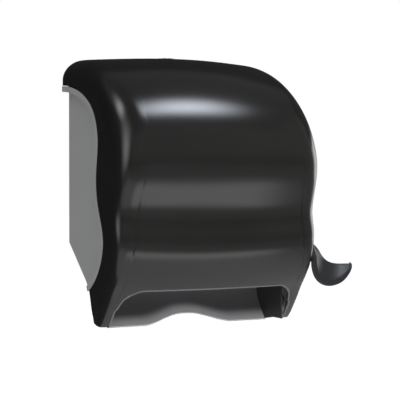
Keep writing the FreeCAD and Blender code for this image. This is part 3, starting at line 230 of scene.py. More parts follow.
def turned(name: str, profile: list[Pair], centre: Triple,
           along: str = "x", count: int = 48) -> Piece:
    """Turned piece: each (distance, radius) of the profile goes round the axis as a ring.

    Args:
        name: the piece's name.
        profile: closed or pole-to-pole outline of (distance along the axis, radius) in millimetres.
        centre: a point of the axis as (x, f, h).
        along: "x" for an axis across the object or "h" for an upright one.
        count: points in each ring.

    Returns:
        The new object.
    """
    reach, radius = np.array(profile, float).T
    t = np.linspace(0, 2 * math.pi, count, endpoint=False)
    c, s = np.cos(t)[None], np.sin(t)[None]
    r, d = radius[:, None], reach[:, None]
    if along == "x":
        points = place(centre[0] + d + 0 * c, centre[1] - r * s, centre[2] + r * c)
    else:
        points = place(centre[0] + r * c, centre[1] - r * s, centre[2] + d + 0 * c)
    piece = make_object(name, points, grid_faces(len(profile), count, wrap=True, flip=True))
    weigh_normals(piece)
    return piece


def bead(name: str, path: np.ndarray, normals: np.ndarray, radius: float) -> Piece:
    """Round bead along an open path: each ring is a circle across the path, round at both ends.

    Args:
        name: the piece's name.
        path: points in metres.
        normals: a direction across the path at each point.
        radius: the bead's radius in millimetres.

    Returns:
        The new object.
    """
    other = unit(np.cross(np.gradient(path, axis=0), normals))
    place_on = np.linspace(0, 1, len(path))
    end = np.clip(np.minimum(place_on, 1 - place_on) / 0.01, 0.02, 1)
    size = (radius * MM * np.sqrt(1 - (1 - end) ** 2))[:, None, None]
    t = np.linspace(0, 2 * math.pi, 16, endpoint=False)[None, :, None]
    points = path[:, None] + size * (normals[:, None] * np.cos(t) + other[:, None] * np.sin(t))
    faces = grid_faces(len(path), 16, wrap=True).tolist()
    faces += [list(range(16))[::-1], list(range((len(path) - 1) * 16, len(path) * 16))]
    return make_object(name, points, faces)


def flat_oval(count: int, power: float) -> tuple[np.ndarray, np.ndarray]:
    """Points of a superellipse of radius one: cosine and sine, each raised to a power with its sign kept.

    Args:
        count: points round it.
        power: 1 for a circle, less for a rounded square.

    Returns:
        Its two coordinates.
    """
    t = np.linspace(0, 2 * math.pi, count, endpoint=False)
    c, s = np.cos(t), np.sin(t)
    return np.sign(c) * np.abs(c) ** power, np.sign(s) * np.abs(s) ** power


def rounded_loop(corners: list[Triple], steps: int = 6) -> np.ndarray:
    """Closed outline whose corners are quadratic arcs that start their own distance before the corner.

    Args:
        corners: (a, b, distance) for each corner.
        steps: points on each arc.

    Returns:
        Array of (a, b) points.
    """
    points = np.array([c[:2] for c in corners], float)
    reach = np.array([c[2] for c in corners], float)[:, None]
    start = points + unit(np.roll(points, 1, axis=0) - points) * reach
    end = points + unit(np.roll(points, -1, axis=0) - points) * reach
    t = np.linspace(0, 1, steps)[None, :, None]
    arcs = (1 - t) ** 2 * start[:, None] + 2 * t * (1 - t) * points[:, None] + t ** 2 * end[:, None]
    return arcs.reshape(-1, 2)


# ---- Finishes

def math_node(nodes: Nodes, operation: str, second: float | None = None) -> bpy.types.Node:
    """Math node of one operation, with its second input set where a value is given."""
    node = nodes.new("ShaderNodeMath")
    node.operation = operation
    if second is not None:
        node.inputs[1].default_value = second
    return node


class Grain(Enum):
    """How a surface's fine detail runs."""

    EVEN = "even"
    ALONG_X = "along x"
    ROUND_X = "round the x axis"


@dataclass(frozen=True)
class Finish:
    """A moulded, rolled or drawn surface: colour with slow mottling, uneven gloss and a fine grain, and where asked a
    painted highlight that pales the colour towards an edge.
    """

    name: str
    color: Triple
    roughness: float
    metallic: float = 0.0
    ior: float = 1.5
    coat: float = 0.0
    mottle: float = 0.12
    gloss_spread: float = 0.06
    grain: Grain = Grain.EVEN
    grain_size: float = 0.0006
    grain_depth: float = 0.00002
    peel: float = 0.0
    # painted highlight: how pale the colour is painted towards an edge
    painted_edge_highlight: float = 0.0

    def material(self) -> bpy.types.Material:
        """Node material of this finish, read in Object coordinates.

        Returns:
            The material, made once and shared after that.
        """
        known = bpy.data.materials.get(self.name)
        if known:
            return known
        material = bpy.data.materials.new(self.name)
        material.use_nodes = True
        nodes, links = material.node_tree.nodes, material.node_tree.links
        shader = nodes["Principled BSDF"]
        shader.inputs["Metallic"].default_value = self.metallic
        shader.inputs["IOR"].default_value = self.ior
        shader.inputs["Coat Weight"].default_value = self.coat
        shader.inputs["Coat Roughness"].default_value = 0.12
        where = nodes.new("ShaderNodeTexCoord")
        stretch = nodes.new("ShaderNodeMapping")
        across = {Grain.EVEN: (1, 1, 1), Grain.ALONG_X: (0.04, 1, 1), Grain.ROUND_X: (1, 0.04, 0.04)}[self.grain]
        stretch.inputs["Scale"].default_value = across
        links.new(where.outputs["Object"], stretch.inputs["Vector"])
        slow = self._noise(nodes, links, where.outputs["Object"], 18.0, 3.0)
        fine = self._noise(nodes, links, stretch.outputs["Vector"], 1.0 / self.grain_size, 2.0)
        tint = nodes.new("ShaderNodeMix")
        tint.data_type = "RGBA"
        tint.inputs[6].default_value = (*[c * (1 - self.mottle) for c in self.color], 1)
        tint.inputs[7].default_value = (*[min(1.0, c * (1 + self.mottle)) for c in self.color], 1)
        links.new(slow, tint.inputs[0])
        # paints a highlight that pales the colour towards an edge, where one is asked for
        color = self._paint_edge_highlight(nodes, links, tint.outputs[2]) if self.painted_edge_highlight > 0 else tint.outputs[2]
        links.new(color, shader.inputs["Base Color"])
        gloss = nodes.new("ShaderNodeMapRange")
        gloss.inputs["To Min"].default_value = max(0.02, self.roughness - self.gloss_spread)
        gloss.inputs["To Max"].default_value = self.roughness + self.gloss_spread
        links.new(fine, gloss.inputs["Value"])
        links.new(gloss.outputs[0], shader.inputs["Roughness"])
        bump = nodes.new("ShaderNodeBump")
        bump.inputs["Strength"].default_value = 1.0
        bump.inputs["Distance"].default_value = self.grain_depth
        links.new(fine, bump.inputs["Height"])
        if self.peel > 0:
            wave = self._noise(nodes, links, where.outputs["Object"], 140.0, 1.0)
            swell = nodes.new("ShaderNodeBump")
            swell.inputs["Distance"].default_value = self.peel
            links.new(wave, swell.inputs["Height"])
            links.new(bump.outputs["Normal"], swell.inputs["Normal"])
            links.new(swell.outputs["Normal"], shader.inputs["Normal"])
        else:
            links.new(bump.outputs["Normal"], shader.inputs["Normal"])
        return material

    def _paint_edge_highlight(self, nodes: Nodes, links: Links,
                  color: Socket) -> Socket:
        """Painted highlight: colour that pales towards a thin edge, where the piece's UV height falls from one to
        nought.
        """
        where = nodes.new("ShaderNodeUVMap")
        where.uv_map = "edge"
        split = nodes.new("ShaderNodeSeparateXYZ")
        links.new(where.outputs["UV"], split.inputs[0])
        near = nodes.new("ShaderNodeMapRange")
        near.interpolation_type = "SMOOTHERSTEP"
        near.inputs["From Min"].default_value = 1.0
        near.inputs["From Max"].default_value = 0.0
        links.new(split.outputs[1], near.inputs["Value"])
        pale = nodes.new("ShaderNodeMix")
        pale.data_type = "RGBA"
        pale.inputs[7].default_value = (self.painted_edge_highlight, self.painted_edge_highlight, self.painted_edge_highlight * 1.02, 1)
        links.new(near.outputs[0], pale.inputs[0])
        links.new(color, pale.inputs[6])
        return pale.outputs[2]

    @staticmethod
    def _noise(nodes: Nodes, links: Links, vector: Socket,
               scale: float, detail: float) -> Socket:
        """Output socket of a noise of the given scale."""
        noise = nodes.new("ShaderNodeTexNoise")
        noise.inputs["Scale"].default_value = scale
        noise.inputs["Detail"].default_value = detail
        links.new(vector, noise.inputs["Vector"])
        return noise.outputs[0]


SMOKED_COVER = Finish("smoked cover", (0.0075, 0.0072, 0.0068), 0.2, ior=1.5, mottle=0.2, gloss_spread=0.03,
                      grain_size=0.0004, grain_depth=0.000002, peel=0.000006)
# Paler copy of the smoked cover for the mouth's bead: its lightness is a painted highlight line along the mouth's edge.
SMOKED_EDGE_PAINTED_HIGHLIGHT = Finish("smoked edge with painted highlight", (0.09, 0.09, 0.094), 0.3, mottle=0.1, grain_size=0.0004, grain_depth=0.000002)
GREY_HOUSING = Finish("grey housing", (0.33, 0.33, 0.325), 0.55, mottle=0.03, grain_size=0.0007, grain_depth=0.00003)
CHARCOAL = Finish("charcoal moulding", (0.025, 0.025, 0.026), 0.45, mottle=0.1, grain_size=0.0006, grain_depth=0.00002)
# Paler copy of the charcoal moulding for the chute plate: its extra lightness is painted light, and it pales further to
# a painted highlight along its lower edge.
CHARCOAL_WITH_PAINTED_LIGHT = Finish("charcoal moulding with painted light", (0.045, 0.045, 0.047), 0.42, mottle=0.1, grain_size=0.0006,
                       grain_depth=0.00002, painted_edge_highlight=0.3)
LEVER_BLACK = Finish("lever black", (0.014, 0.0142, 0.0148), 0.4, ior=1.4, mottle=0.1, grain_size=0.0006,
                     grain_depth=0.00002)
FRAME_GREY = Finish("frame grey", (0.2, 0.2, 0.205), 0.5, mottle=0.06)
IVORY_GEAR = Finish("ivory gear", (0.68, 0.66, 0.58), 0.38, mottle=0.04)
BLACK_ROLLER = Finish("black roller", (0.028, 0.028, 0.03), 0.35, mottle=0.1, grain=Grain.ROUND_X)
GROUND_RUBBER = Finish("ground rubber", (0.022, 0.022, 0.022), 0.8, mottle=0.2, grain=Grain.ROUND_X,
                       grain_size=0.0008, grain_depth=0.00008)
DRAWN_STEEL = Finish("drawn steel", (0.6, 0.6, 0.61), 0.28, metallic=1.0, mottle=0.05, grain=Grain.ALONG_X,
                     grain_size=0.0003, grain_depth=0.000008)
BLADE_STEEL = Finish("blade steel", (0.64, 0.64, 0.65), 0.24, metallic=1.0, mottle=0.04, grain=Grain.ALONG_X,
                     grain_size=0.0003, grain_depth=0.000006)
ZINC_PLATE = Finish("zinc plate", (0.6, 0.6, 0.57), 0.32, metallic=1.0, mottle=0.1)
HUB_GREY = Finish("hub grey", (0.38, 0.38, 0.39), 0.4, mottle=0.05)
LOCK_METAL = Finish("lock metal", (0.5, 0.5, 0.5), 0.25, metallic=1.0, mottle=0.06)

NODE_FINISHES = {
    SMOKED_COVER: ["cover_shell"],
    GREY_HOUSING: ["rear_housing"],
    CHARCOAL: ["towel_chute"],
    LEVER_BLACK: ["push_lever"],
    FRAME_GREY: ["left_side_frame", "right_side_frame", "front_bridge", "left_roll_arm", "right_roll_arm"],
    IVORY_GEAR: ["sector_gear", "drive_pinion", "feed_roller_bushes", "lever_bush", "pinch_bearing_blocks",
                 "spring_catch"],
    BLACK_ROLLER: ["feed_roller_core", "pinch_roller"],
    GROUND_RUBBER: ["feed_roller_sleeves"],
    DRAWN_STEEL: ["lever_shaft", "feed_roller_shaft", "pinch_shaft", "cover_hinge_pins", "arm_pivot_pins",
                  "one_way_clutch", "lever_return_spring"],
    BLADE_STEEL: ["tear_bar", "pinch_springs"],
    ZINC_PLATE: ["chute_screws", "frame_screws", "bridge_screws", "tear_bar_screws", "keeper_screws", "lever_screw",
                 "cam_screw", "shaft_clips", "left_hub_clip", "right_hub_clip", "lock_nut", "lock_cam", "latch_keeper"],
    HUB_GREY: ["left_roll_hub", "right_roll_hub"],
    LOCK_METAL: ["lock_barrel", "lock_plug"],
}


def dress(piece: Piece, finish: Finish) -> None:
    """Give every slot of an object one finish."""
    material = finish.material()
    if not piece.material_slots:
        piece.data.materials.append(material)
    for slot in piece.material_slots:
        slot.material = material


def fit(piece: Piece, finish: Finish, body: str) -> Piece:
    """Dress a new piece, put it on its body and report it.

    Args:
        piece: the new object.
        finish: its finish.
        body: the body that it moves with.

    Returns:
        The same object.
    """
    dress(piece, finish)
    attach(piece, body)
    LOG.info("made %s on %s, %d faces", piece.name, body, len(piece.data.polygons))
    return piece


# ---- Sub-assemblies

@dataclass
class RearLine:
    """The line in the side view where the cover meets the housing's flange."""

    points: list[Pair] = field(default_factory=lambda: [
        (-6, 291.5), (20, 289.5), (50, 284.5), (88, 272), (118, 249), (128, 218), (122, 178),
        (130, 142), (145, 106), (137, 80), (93, 44)])

    def sample(self, count: int) -> np.ndarray:
        """Evenly spaced (f, h) points from the wall down to the lower corner."""
        return Smooth(self.points).sample(count)


@dataclass
class FrontCover:
    """Smoked cover: fan-shaped sections round a wave-shaped front, ended by the wall, rear line and mouth."""

    half: float = 128.0
    height: float = 326.0
    depth: float = 217.5
    roof_flat: float = 30.0
    bulge_h: float = 196.0
    waist: Pair = (200.0, 128.0)
    chin: Pair = (202.0, 105.0)
    lip: Pair = (178.0, 50.0)
    bottom: float = 4.5
    wall_gap: float = 1.0
    wall: float = 2.8
    crown: float = 14.0
    centre: Pair = (75.0, 165.0)
    heel: list[Pair] = field(default_factory=lambda: [(97, 40), (106, 24), (112, 8), (118, 4.5)])
    mouth: list[Pair] = field(default_factory=lambda: [
        (108.6, 2.5), (111, 12), (112.5, 24), (108, 38), (96, 50)])
    sections: list[Triple] = field(default_factory=lambda: [
        (118, 30, 0.3), (104, 30, 0.5), (88, 29, 0.9), (70, 31, 1.15), (52, 35, 1.2), (34, 37, 1.1),
        (18, 34, 1.05), (3, 28, 1.0), (-10, 23, 1.0), (-22, 21, 1.0), (-34, 18, 1.0), (-46, 14, 1.0),
        (-58, 13, 1.0), (-70, 12, 1.0), (-82, 12, 1.0)])
    lock_f: float = 26.0

    def profile(self) -> np.ndarray:
        """Middle line of the front: level roof, a quarter ellipse, then waist, chin and lip."""
        t = np.radians([72, 54, 36, 18])
        ellipse = np.stack([self.roof_flat + (self.depth - self.roof_flat) * np.cos(t),
                            self.bulge_h + (self.height - self.bulge_h) * np.sin(t)], axis=-1)
        lip_f, lip_h = self.lip
        points = [(-25, self.height), (self.roof_flat / 2, self.height), *map(tuple, ellipse),
                  (self.depth, self.bulge_h),
                  ((self.depth + self.waist[0]) / 2, (self.bulge_h + self.waist[1]) / 2), self.waist, self.chin,
                  (lip_f + 15, lip_h + 24), self.lip, (lip_f - 15, lip_h - 17), (lip_f - 28, lip_h - 33),
                  (lip_f - 38, self.bottom + 1), (lip_f - 56, self.bottom - 16), (lip_f - 82, self.bottom - 26)]
        return Smooth(points).sample(3000)

    def columns(self) -> tuple[np.ndarray, np.ndarray]:
        """Kinds and shares of the right half's columns: front arc, corner arc, then side."""
        kinds = np.concatenate([np.zeros(46), np.ones(18), np.full(16, 2)])
        front = np.sin(np.linspace(0, math.pi / 2, 46)) * 0.4 + np.linspace(0, 1, 46) * 0.6
        shares = np.concatenate([front, np.linspace(0, 1, 19)[1:], np.linspace(0, 1, 17)[1:]])
        return kinds, shares

    def points(self, degrees: np.ndarray, kinds: np.ndarray, shares: np.ndarray) -> tuple[np.ndarray, ...]:
        """Side, forward and height values of surface points.

        A section lies along one fan direction. Its front is an arc through the crown, its corner an arc
        tangent to that front and to the side, and its side runs straight in to the rear line.

        Args:
            degrees: fan direction of each point, columns by rows.
            kinds: 0 for front, 1 for corner and 2 for side, one to a column.
            shares: position within that kind, one to a column.

        Returns:
            Arrays x, f and h, in the shape of degrees.
        """
        table = np.array(self.sections)[::-1]
        smooth = Smooth([tuple(row) for row in self.sections]).sample(400)[::-1]
        radius = np.interp(degrees, smooth[:, 0], smooth[:, 1])
        share_of_crown = np.interp(degrees, smooth[:, 0], smooth[:, 2])
        radius = np.clip(radius, table[:, 1].min(), table[:, 1].max())
        crown = self.crown * np.clip(share_of_crown, table[:, 2].min(), table[:, 2].max())
        reach = polar(self.profile(), self.centre, degrees)
        edge = polar(RearLine().sample(1500), self.centre, degrees)
        crown_r = (self.half ** 2 + crown ** 2) / (2 * crown)
        middle = reach - crown_r
        base = middle + np.sqrt((crown_r - radius) ** 2 - (self.half - radius) ** 2)
        lean = np.arctan2(base - middle, self.half - radius)
        k, s = kinds[:, None], shares[:, None]
        on_front = math.pi / 2 + (lean - math.pi / 2) * s
        on_corner = lean * (1 - s)
        x = np.where(k == 0, crown_r * np.cos(on_front), self.half)
        out = np.where(k == 0, middle + crown_r * np.sin(on_front), base + (edge - base) * s)
        x = np.where(k == 1, self.half - radius + radius * np.cos(on_corner), x)
        out = np.where(k == 1, base + radius * np.sin(on_corner), out)
        t = np.radians(degrees)
        return x, self.centre[0] + out * np.cos(t), self.centre[1] + out * np.sin(t)

    def room(self, x: np.ndarray, f: np.ndarray, h: np.ndarray) -> np.ndarray:
        """Signed distance to the nearest lower limit: rounded bottom, heel line and mouth. Positive is kept."""
        corner = 6.2
        over, under = np.maximum(x - (self.half - 6), 0), np.maximum(self.bottom + corner - h, 0)
        least = np.minimum(h - self.bottom, corner - np.hypot(over, under))
        for (f0, h0), (f1, h1) in zip(self.heel[:-1], self.heel[1:]):
            away = ((f - f0) * (h0 - h1) + (h - h0) * (f1 - f0)) / math.hypot(f1 - f0, h1 - h0)
            least = np.minimum(least, away)
        outside = np.full_like(x, -1e3)
        for (x0, h0), (x1, h1) in zip(self.mouth[:-1], self.mouth[1:]):
            away = ((x - x0) * (h1 - h0) - (h - h0) * (x1 - x0)) / math.hypot(x1 - x0, h1 - h0)
            outside = np.maximum(outside, away)
        above = h - self.mouth[-1][1]
        blend = 9.0
        soft = np.clip(0.5 + 0.5 * (outside - above) / blend, 0, 1)
        outside = above + (outside - above) * soft + blend * soft * (1 - soft)
        return np.minimum(least, outside)

    def grid(self) -> np.ndarray:
        """Whole outer surface: each column's rows are spread between its own two end directions."""
        kinds, shares = self.columns()
        trial = np.linspace(121, -82, 1600)[None, :].repeat(len(kinds), axis=0)
        x, f, h = self.points(trial, kinds, shares)
        first = np.argmax(f >= self.wall_gap, axis=1)
        low = self.room(x, f, h) < 0
        low[:, :400] = False
        last = np.where(low.any(axis=1), np.argmax(low, axis=1) - 1, trial.shape[1] - 1)
        start, end = trial[0, first], trial[0, last]
        rows = 190
        spread = np.linspace(0, 1, rows)[None, :]
        degrees = start[:, None] + (end - start)[:, None] * spread
        x, f, h = self.points(degrees, kinds, shares)
        right = place(x, f, h)
        left = right[:0:-1] * np.array([-1, 1, 1])
        return np.concatenate([left, right])

    def build(self) -> None:
        """Cover skin, its hinge bosses, the lock's seat and the lock's face."""
        grid = self.grid()
        skin = walled("cover_skin", grid[::-1], self.wall, 1.3)
        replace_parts(fit(skin, SMOKED_COVER, "cover"), "cover_shell")
        self.mouth_bead(grid[::-1])
        boss = [(119, 2.6), (119, 4.8), (119.6, 5.4), (125.4, 5.4), (125.4, 2.6), (119, 2.6)]
        for side, name in ((1, "right"), (-1, "left")):
            profile = [(side * d, r) for d, r in boss]
            if side < 0:
                profile = profile[::-1]
            fit(turned(name + "_hinge_boss", profile, (0, 122, 15)), SMOKED_COVER, "cover")
        seat = [(317.2, 9.2), (317.2, 13.0), (323.4, 13.0), (323.4, 9.2), (317.2, 9.2)]
        fit(turned("lock_seat", seat[::-1], (0, self.lock_f, 0), "h"), SMOKED_COVER, "cover")
        rose = [(325.6, 5.9), (325.6, 10.6), (326.5, 10.6), (326.8, 10.2), (326.8, 6.4), (326.4, 5.9), (325.6, 5.9)]
        fit(turned("lock_rose", rose[::-1], (0, self.lock_f, 0), "h"), LOCK_METAL, "cover")
        self.key_face()

    def mouth_bead(self, grid: np.ndarray) -> None:
        """Bead along the mouth's edge: up one side column, along the columns' ends and down the other side. Its paler
        finish is a painted highlight line along that edge.
        """
        height = grid[..., 2] / MM + ORIGIN_H
        ended = np.flatnonzero((np.abs(grid[:, -1, 0]) < 0.115) & (height[:, -1] > self.bottom + 1.0))
        first, last = ended[0], ended[-1]
        up = np.flatnonzero(height[first - 1] < height[first, -1])[::-1]
        down = np.flatnonzero(height[last + 1] < height[last, -1])
        columns = np.concatenate([np.full(len(up), first - 1), ended, np.full(len(down), last + 1)])
        rows = np.concatenate([up, np.full(len(ended), -1), down])
        path, normals = grid[columns, rows], surface_normals(grid)[columns, rows]
        # the bead's paler finish paints a highlight line along the mouth's edge
        fit(bead("mouth_bead", path - normals * 0.5 * MM, normals, 1.1), SMOKED_EDGE_PAINTED_HIGHLIGHT, "cover")

    def key_face(self) -> None:
        """Face of the lock's plug: a disc whose rings are drawn in to a straight key slot."""
        count = 64
        t = np.linspace(0, 2 * math.pi, count, endpoint=False)
        radius = np.array([5.7, 5.7, 5.2, 0.0, 0.0])[:, None]
        height = np.array([325.4, 326.3, 326.5, 326.5, 323.0])[:, None]
        slot = np.stack([np.clip(6 * np.sin(t), -3.2, 3.2), np.clip(3 * np.cos(t), -0.7, 0.7)])
        use_slot = np.array([0, 0, 0, 1, 1])[:, None]
        x = radius * np.cos(t) + use_slot * slot[1]
        f = self.lock_f - radius * np.sin(t) - use_slot * slot[0]
        points = place(x, f, height + 0 * x)
        faces = grid_faces(5, count, wrap=True, flip=True).tolist() + [list(range(4 * count, 5 * count))]
        face = make_object("lock_face", points, faces, smooth=False)
        fit(face, LOCK_METAL, "lock")


@dataclass
class TowelChute:
    """Dark plate behind the mouth: it lies on the sloping floor, sweeps down and ends in a wavy edge."""

    half: float = 105.0
    wall: float = 2.5
    floor_end: Pair = (68.0, 50.0)
    back_bottom: float = 97.0
    floor_wall: float = 2.5
    lip_f: float = 97.0
    notch_rise: float = 11.0
    notch_top: float = 4.0
    notch_low: float = 60.0
    wing: float = 2.5
    wing_lap: float = 1.2
    wing_fronts: Pair = (134.0, 110.0)
    wing_foot: float = 5.0
    # width in millimetres of the painted highlight band along the plate's lower edge
    painted_highlight_band: float = 15.0

    def floor_height(self, f: float) -> float:
        """Height of the floor's inner face at a depth."""
        slope = (self.floor_end[1] - self.back_bottom) / self.floor_end[0]
        return self.back_bottom + slope * f + self.floor_wall * math.hypot(1, slope)

    def section(self) -> np.ndarray:
        """Side-view line of the plate's rear face, from the floor to the lip."""
        end_f = self.floor_end[0]
        flat = [(end_f + d, self.floor_height(end_f + d)) for d in (-24, -18, -12, -6, -2, 1.5)]
        return Smooth(flat + [(end_f + 5, 38), (end_f + 11, 22), (self.lip_f - 8, 8), (self.lip_f, 0)]).sample(400)

    def grid(self) -> np.ndarray:
        """Front face: the section moved out by the wall, and cut short where the edge rises.

        The edge's height is level, then a smooth step up to the notch and down again.
        """
        line = self.section()
        ahead = unit(np.gradient(line, axis=0))
        front = line + np.stack([-ahead[:, 1], ahead[:, 0]], axis=-1) * self.wall
        x = np.linspace(-self.half, self.half, 121)
        step = np.clip((self.notch_low - np.abs(x)) / (self.notch_low - self.notch_top), 0, 1)
        rise = front[-1, 1] + self.notch_rise * step * step * (3 - 2 * step)
        length = np.linspace(0, 1, len(front))
        end = np.interp(rise, front[::-1, 1], length[::-1])
        share = np.linspace(0, 1, 70)[None, :] * end[:, None]
        f = np.interp(share, length, front[:, 0])
        h = np.interp(share, length, front[:, 1])
        return place(x[:, None], f, h)

    def wing_grid(self, front: float) -> np.ndarray:
        """Right wing: a ruled surface from the plate's edge forward to an upright line beside the hinge.

        Going forward, the side station follows a quarter sine and the height moves in a straight line.

        Args:
            front: how far forward the wing reaches.

        Returns:
            Grid of points in metres.
        """
        edge = self.grid()[-1] / MM
        f0, h0 = -edge[:, 1], edge[:, 2] + ORIGIN_H
        keep = h0 < self.floor_end[1]
        f0, h0 = f0[keep] - self.wing_lap, h0[keep]
        h1 = self.wing_foot + (h0 - h0.min()) * (self.floor_end[1] - self.wing_foot) / (h0.max() - h0.min())
        share = np.linspace(0, 1, 16)[:, None]
        x = self.half - self.wing_lap + (self.wing + self.wing_lap) * np.sin(share * math.pi / 2)
        f = f0 + (front - f0) * share
        h = h0 + (h1 - h0) * np.minimum(share * 2.2, 1)
        return place(x, f, h)

    def mark_painted_highlight_band(self, piece: Piece, grid: np.ndarray) -> None:
        """Own UV of the plate, which places its painted highlight: its height is the distance to the wavy edge over the
        band's width.

        The edge's height at each side station is read off the grid's last row.
        """
        mesh = piece.data
        points = np.empty(len(mesh.vertices) * 3)
        mesh.vertices.foreach_get("co", points)
        points = points.reshape(-1, 3)
        low = np.interp(points[:, 0], grid[:, -1, 0], grid[:, -1, 2])
        away = np.clip((points[:, 2] - low) / (self.painted_highlight_band * MM), 0, 1)
        corner = np.empty(len(mesh.loops), dtype=np.int32)
        mesh.loops.foreach_get("vertex_index", corner)
        pairs = np.stack([points[:, 0] * 4 + 0.5, away], axis=-1)[corner]
        mesh.uv_layers.new(name="edge").data.foreach_set("uv", pairs.ravel())

    def build(self) -> None:
        """Chute plate in place of its plain solid, with a wing on each side."""
        grid = self.grid()
        skin = walled("chute_skin", grid[::-1], self.wall, 0.6)
        # places the painted highlight along the plate's lower edge
        self.mark_painted_highlight_band(skin, grid)
        for side, name, front in zip((1, -1), ("right_wing", "left_wing"), self.wing_fronts):
            wing = self.wing_grid(front)
            wing = wing[::-1] if side > 0 else wing * np.array([-1, 1, 1])
            fit(walled(name, wing, 2.0, 0.6), CHARCOAL, "base")
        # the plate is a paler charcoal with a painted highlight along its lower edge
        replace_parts(fit(skin, CHARCOAL_WITH_PAINTED_LIGHT, "base"), "towel_chute")


@dataclass
class PushLever:
    """Scoop and its turned-down lip beside the cover, laid closely round the lever's own solid."""

    x0: float = 130.5
    pivot: Pair = (96.34, 84.11)
    root_wall: float = 6.0
    tip_wall: float = 2.6
    cover: float = 0.25
    nose: float = 5.0
    lip: float = 4.0

    def edges(self) -> tuple[np.ndarray, np.ndarray]:
        """Rear and front edges of the scoop's upper face, from the arm out to the tip."""
        x0 = self.x0
        rear = [(x0 + 6.8, 152, 103), (x0 + 11, 152, 98), (x0 + 19, 152, 90), (x0 + 25, 152, 81),
                (x0 + 32, 153, 75), (x0 + 44, 154, 72), (x0 + 58, 159, 72)]
        front = [(x0 + 6.8, 168, 84), (x0 + 7.5, 168, 72), (x0 + 11, 168, 61), (x0 + 18, 168, 55),
                 (x0 + 27, 168, 53.5), (x0 + 40, 168, 56), (x0 + 53, 165, 65)]
        return Smooth(rear).sample(60), Smooth(front).sample(60)

    def scoop(self) -> Piece:
        """Closed scoop: at each station a flat oval goes round the chord between the two edges.

        The oval's long radius is half the chord and its short one half the wall, which thins towards
        the tip, and its power makes it nearly a rounded rectangle.
        """
        rear, front = self.edges()
        share = np.linspace(0, 1, len(rear))[:, None]
        across = front - rear
        along = np.gradient(rear, axis=0) + np.gradient(front, axis=0)
        normal = unit(np.cross(along, across))
        normal *= np.where(normal[:, 2:3] > 0, -1, 1)
        wall = self.root_wall + (self.tip_wall - self.root_wall) * share
        centre = (rear + front) / 2 + normal * wall / 2
        c, s = flat_oval(40, 0.35)
        chord = np.linalg.norm(across, axis=1, keepdims=True)
        long = unit(across) * (chord / 2 + self.cover)
        short = normal * (wall / 2 + self.cover)
        rings = centre[:, None] + long[:, None] * c[None, :, None] + short[:, None] * s[None, :, None]
        bow = np.radians([15, 30, 45, 60, 75, 88])[:, None, None]
        ahead = unit(centre[-1] - centre[-2])
        end = centre[-1] + ahead * self.nose * np.sin(bow) + (rings[-1] - centre[-1]) * np.cos(bow)
        rings = np.concatenate([rings, end])
        points = place(rings[..., 0], rings[..., 1], rings[..., 2])
        count = len(c)
        faces = grid_faces(len(rings), count, wrap=True, flip=True).tolist()
        faces += [list(range(count)), list(range((len(rings) - 1) * count, len(rings) * count))[::-1]]
        piece = make_object("lever_scoop", points, faces)
        weigh_normals(piece)
        return piece

    def lip_band(self) -> Piece:
        """Turned-down front edge: an upright band along the scoop's front edge, round at both ends.

        Each ring is a flat oval, tall across the edge's own direction and thin from front to back. Its
        size follows a quarter circle over the first eighth and the last twentieth, and it narrows
        to 0.45 over the outer half.
        """
        x0 = self.x0
        tip = [(x0 + 57, 162, 69), (x0 + 59.5, 158, 74)]
        front = Smooth([tuple(p) for p in self.edges()[1][::6]] + tip).sample(80)
        share = np.linspace(0, 1, len(front))
        near_end = np.clip(np.minimum(share / 0.12, (1 - share) / 0.05), 0, 1)
        narrowing = 1 - 0.55 * np.clip(share * 2 - 1, 0, 1)
        size = (np.sqrt(np.maximum(1 - (1 - near_end) ** 2, 0.0004)) * narrowing)[:, None]
        ahead = unit(np.gradient(front, axis=0))
        down = unit(np.cross(np.array([0.0, 1.0, 0.0]), ahead))
        down *= np.where(down[:, 2:3] > 0, -1, 1)
        middle = front + down * (self.lip - 0.6) * size + np.array([0.0, 0.3, 0.0])
        tall, thin = flat_oval(24, 0.6)
        rings = middle[:, None] + (down * self.lip * size)[:, None] * tall[None, :, None] \
            + (np.array([[0.0, 1.5, 0.0]]) * size)[:, None] * thin[None, :, None]
        count = len(tall)
        faces = grid_faces(len(front), count, wrap=True).tolist()
        faces += [list(range(count))[::-1], list(range((len(front) - 1) * count, len(front) * count))]
        return make_object("lever_lip", place(rings[..., 0], rings[..., 1], rings[..., 2]), faces)

    def build(self) -> None:
        """Scoop and its turned-down edge over the lever's solid."""
        fit(self.scoop(), LEVER_BLACK, "lever")
        fit(self.lip_band(), LEVER_BLACK, "lever")


@dataclass
class Flange:
    """Raised rim of the housing that follows the cover's rear edge, one on each side."""

    gap: float = 0.6
    width: float = 7.0
    x_in: float = 118.4
    x_out: float = 128.0
    cover: float = 0.2

    def build(self) -> None:
        """Rounded rim over each flange: a rounded rectangle carried along the rear line."""
        line = RearLine().sample(160)
        line = line[line[:, 0] > 0.8]
        ahead = unit(np.gradient(line, axis=0))
        back = np.stack([ahead[:, 1], -ahead[:, 0]], axis=-1)
        w0, w1 = self.gap + 0.05, self.gap + self.width + self.cover
        section = rounded_loop([(self.x_in, w0, 0.6), (self.x_out + 0.1, w0, 0.9), (self.x_out + 0.1, w1, 1.6),
                                (self.x_in, w1, 0.6)], 5)
        for side, name in ((1, "right_flange"), (-1, "left_flange")):
            f = line[:, None, 0] + back[:, None, 0] * section[None, :, 1]
            h = line[:, None, 1] + back[:, None, 1] * section[None, :, 1]
            points = place(side * section[None, :, 0] + 0 * f, f, h)
            count, rows = len(section), len(line)
            faces = grid_faces(rows, count, wrap=True, flip=side < 0).tolist()
            caps = [list(range(count)), list(range((rows - 1) * count, rows * count))[::-1]]
            faces += [cap[::-1] if side < 0 else cap for cap in caps]
            piece = make_object(name, points, faces)
            weigh_normals(piece)
            fit(piece, GREY_HOUSING, "base")


def dress_nodes() -> None:
    """Give every carried-over node its finish."""
    for finish, names in NODE_FINISHES.items():
        for name in names:
            dress(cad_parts[name], finish)
    missing = set(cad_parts) - {name for names in NODE_FINISHES.values() for name in names}
    if missing:
        LOG.warning("no finish for %s", sorted(missing))


# ---- Studio

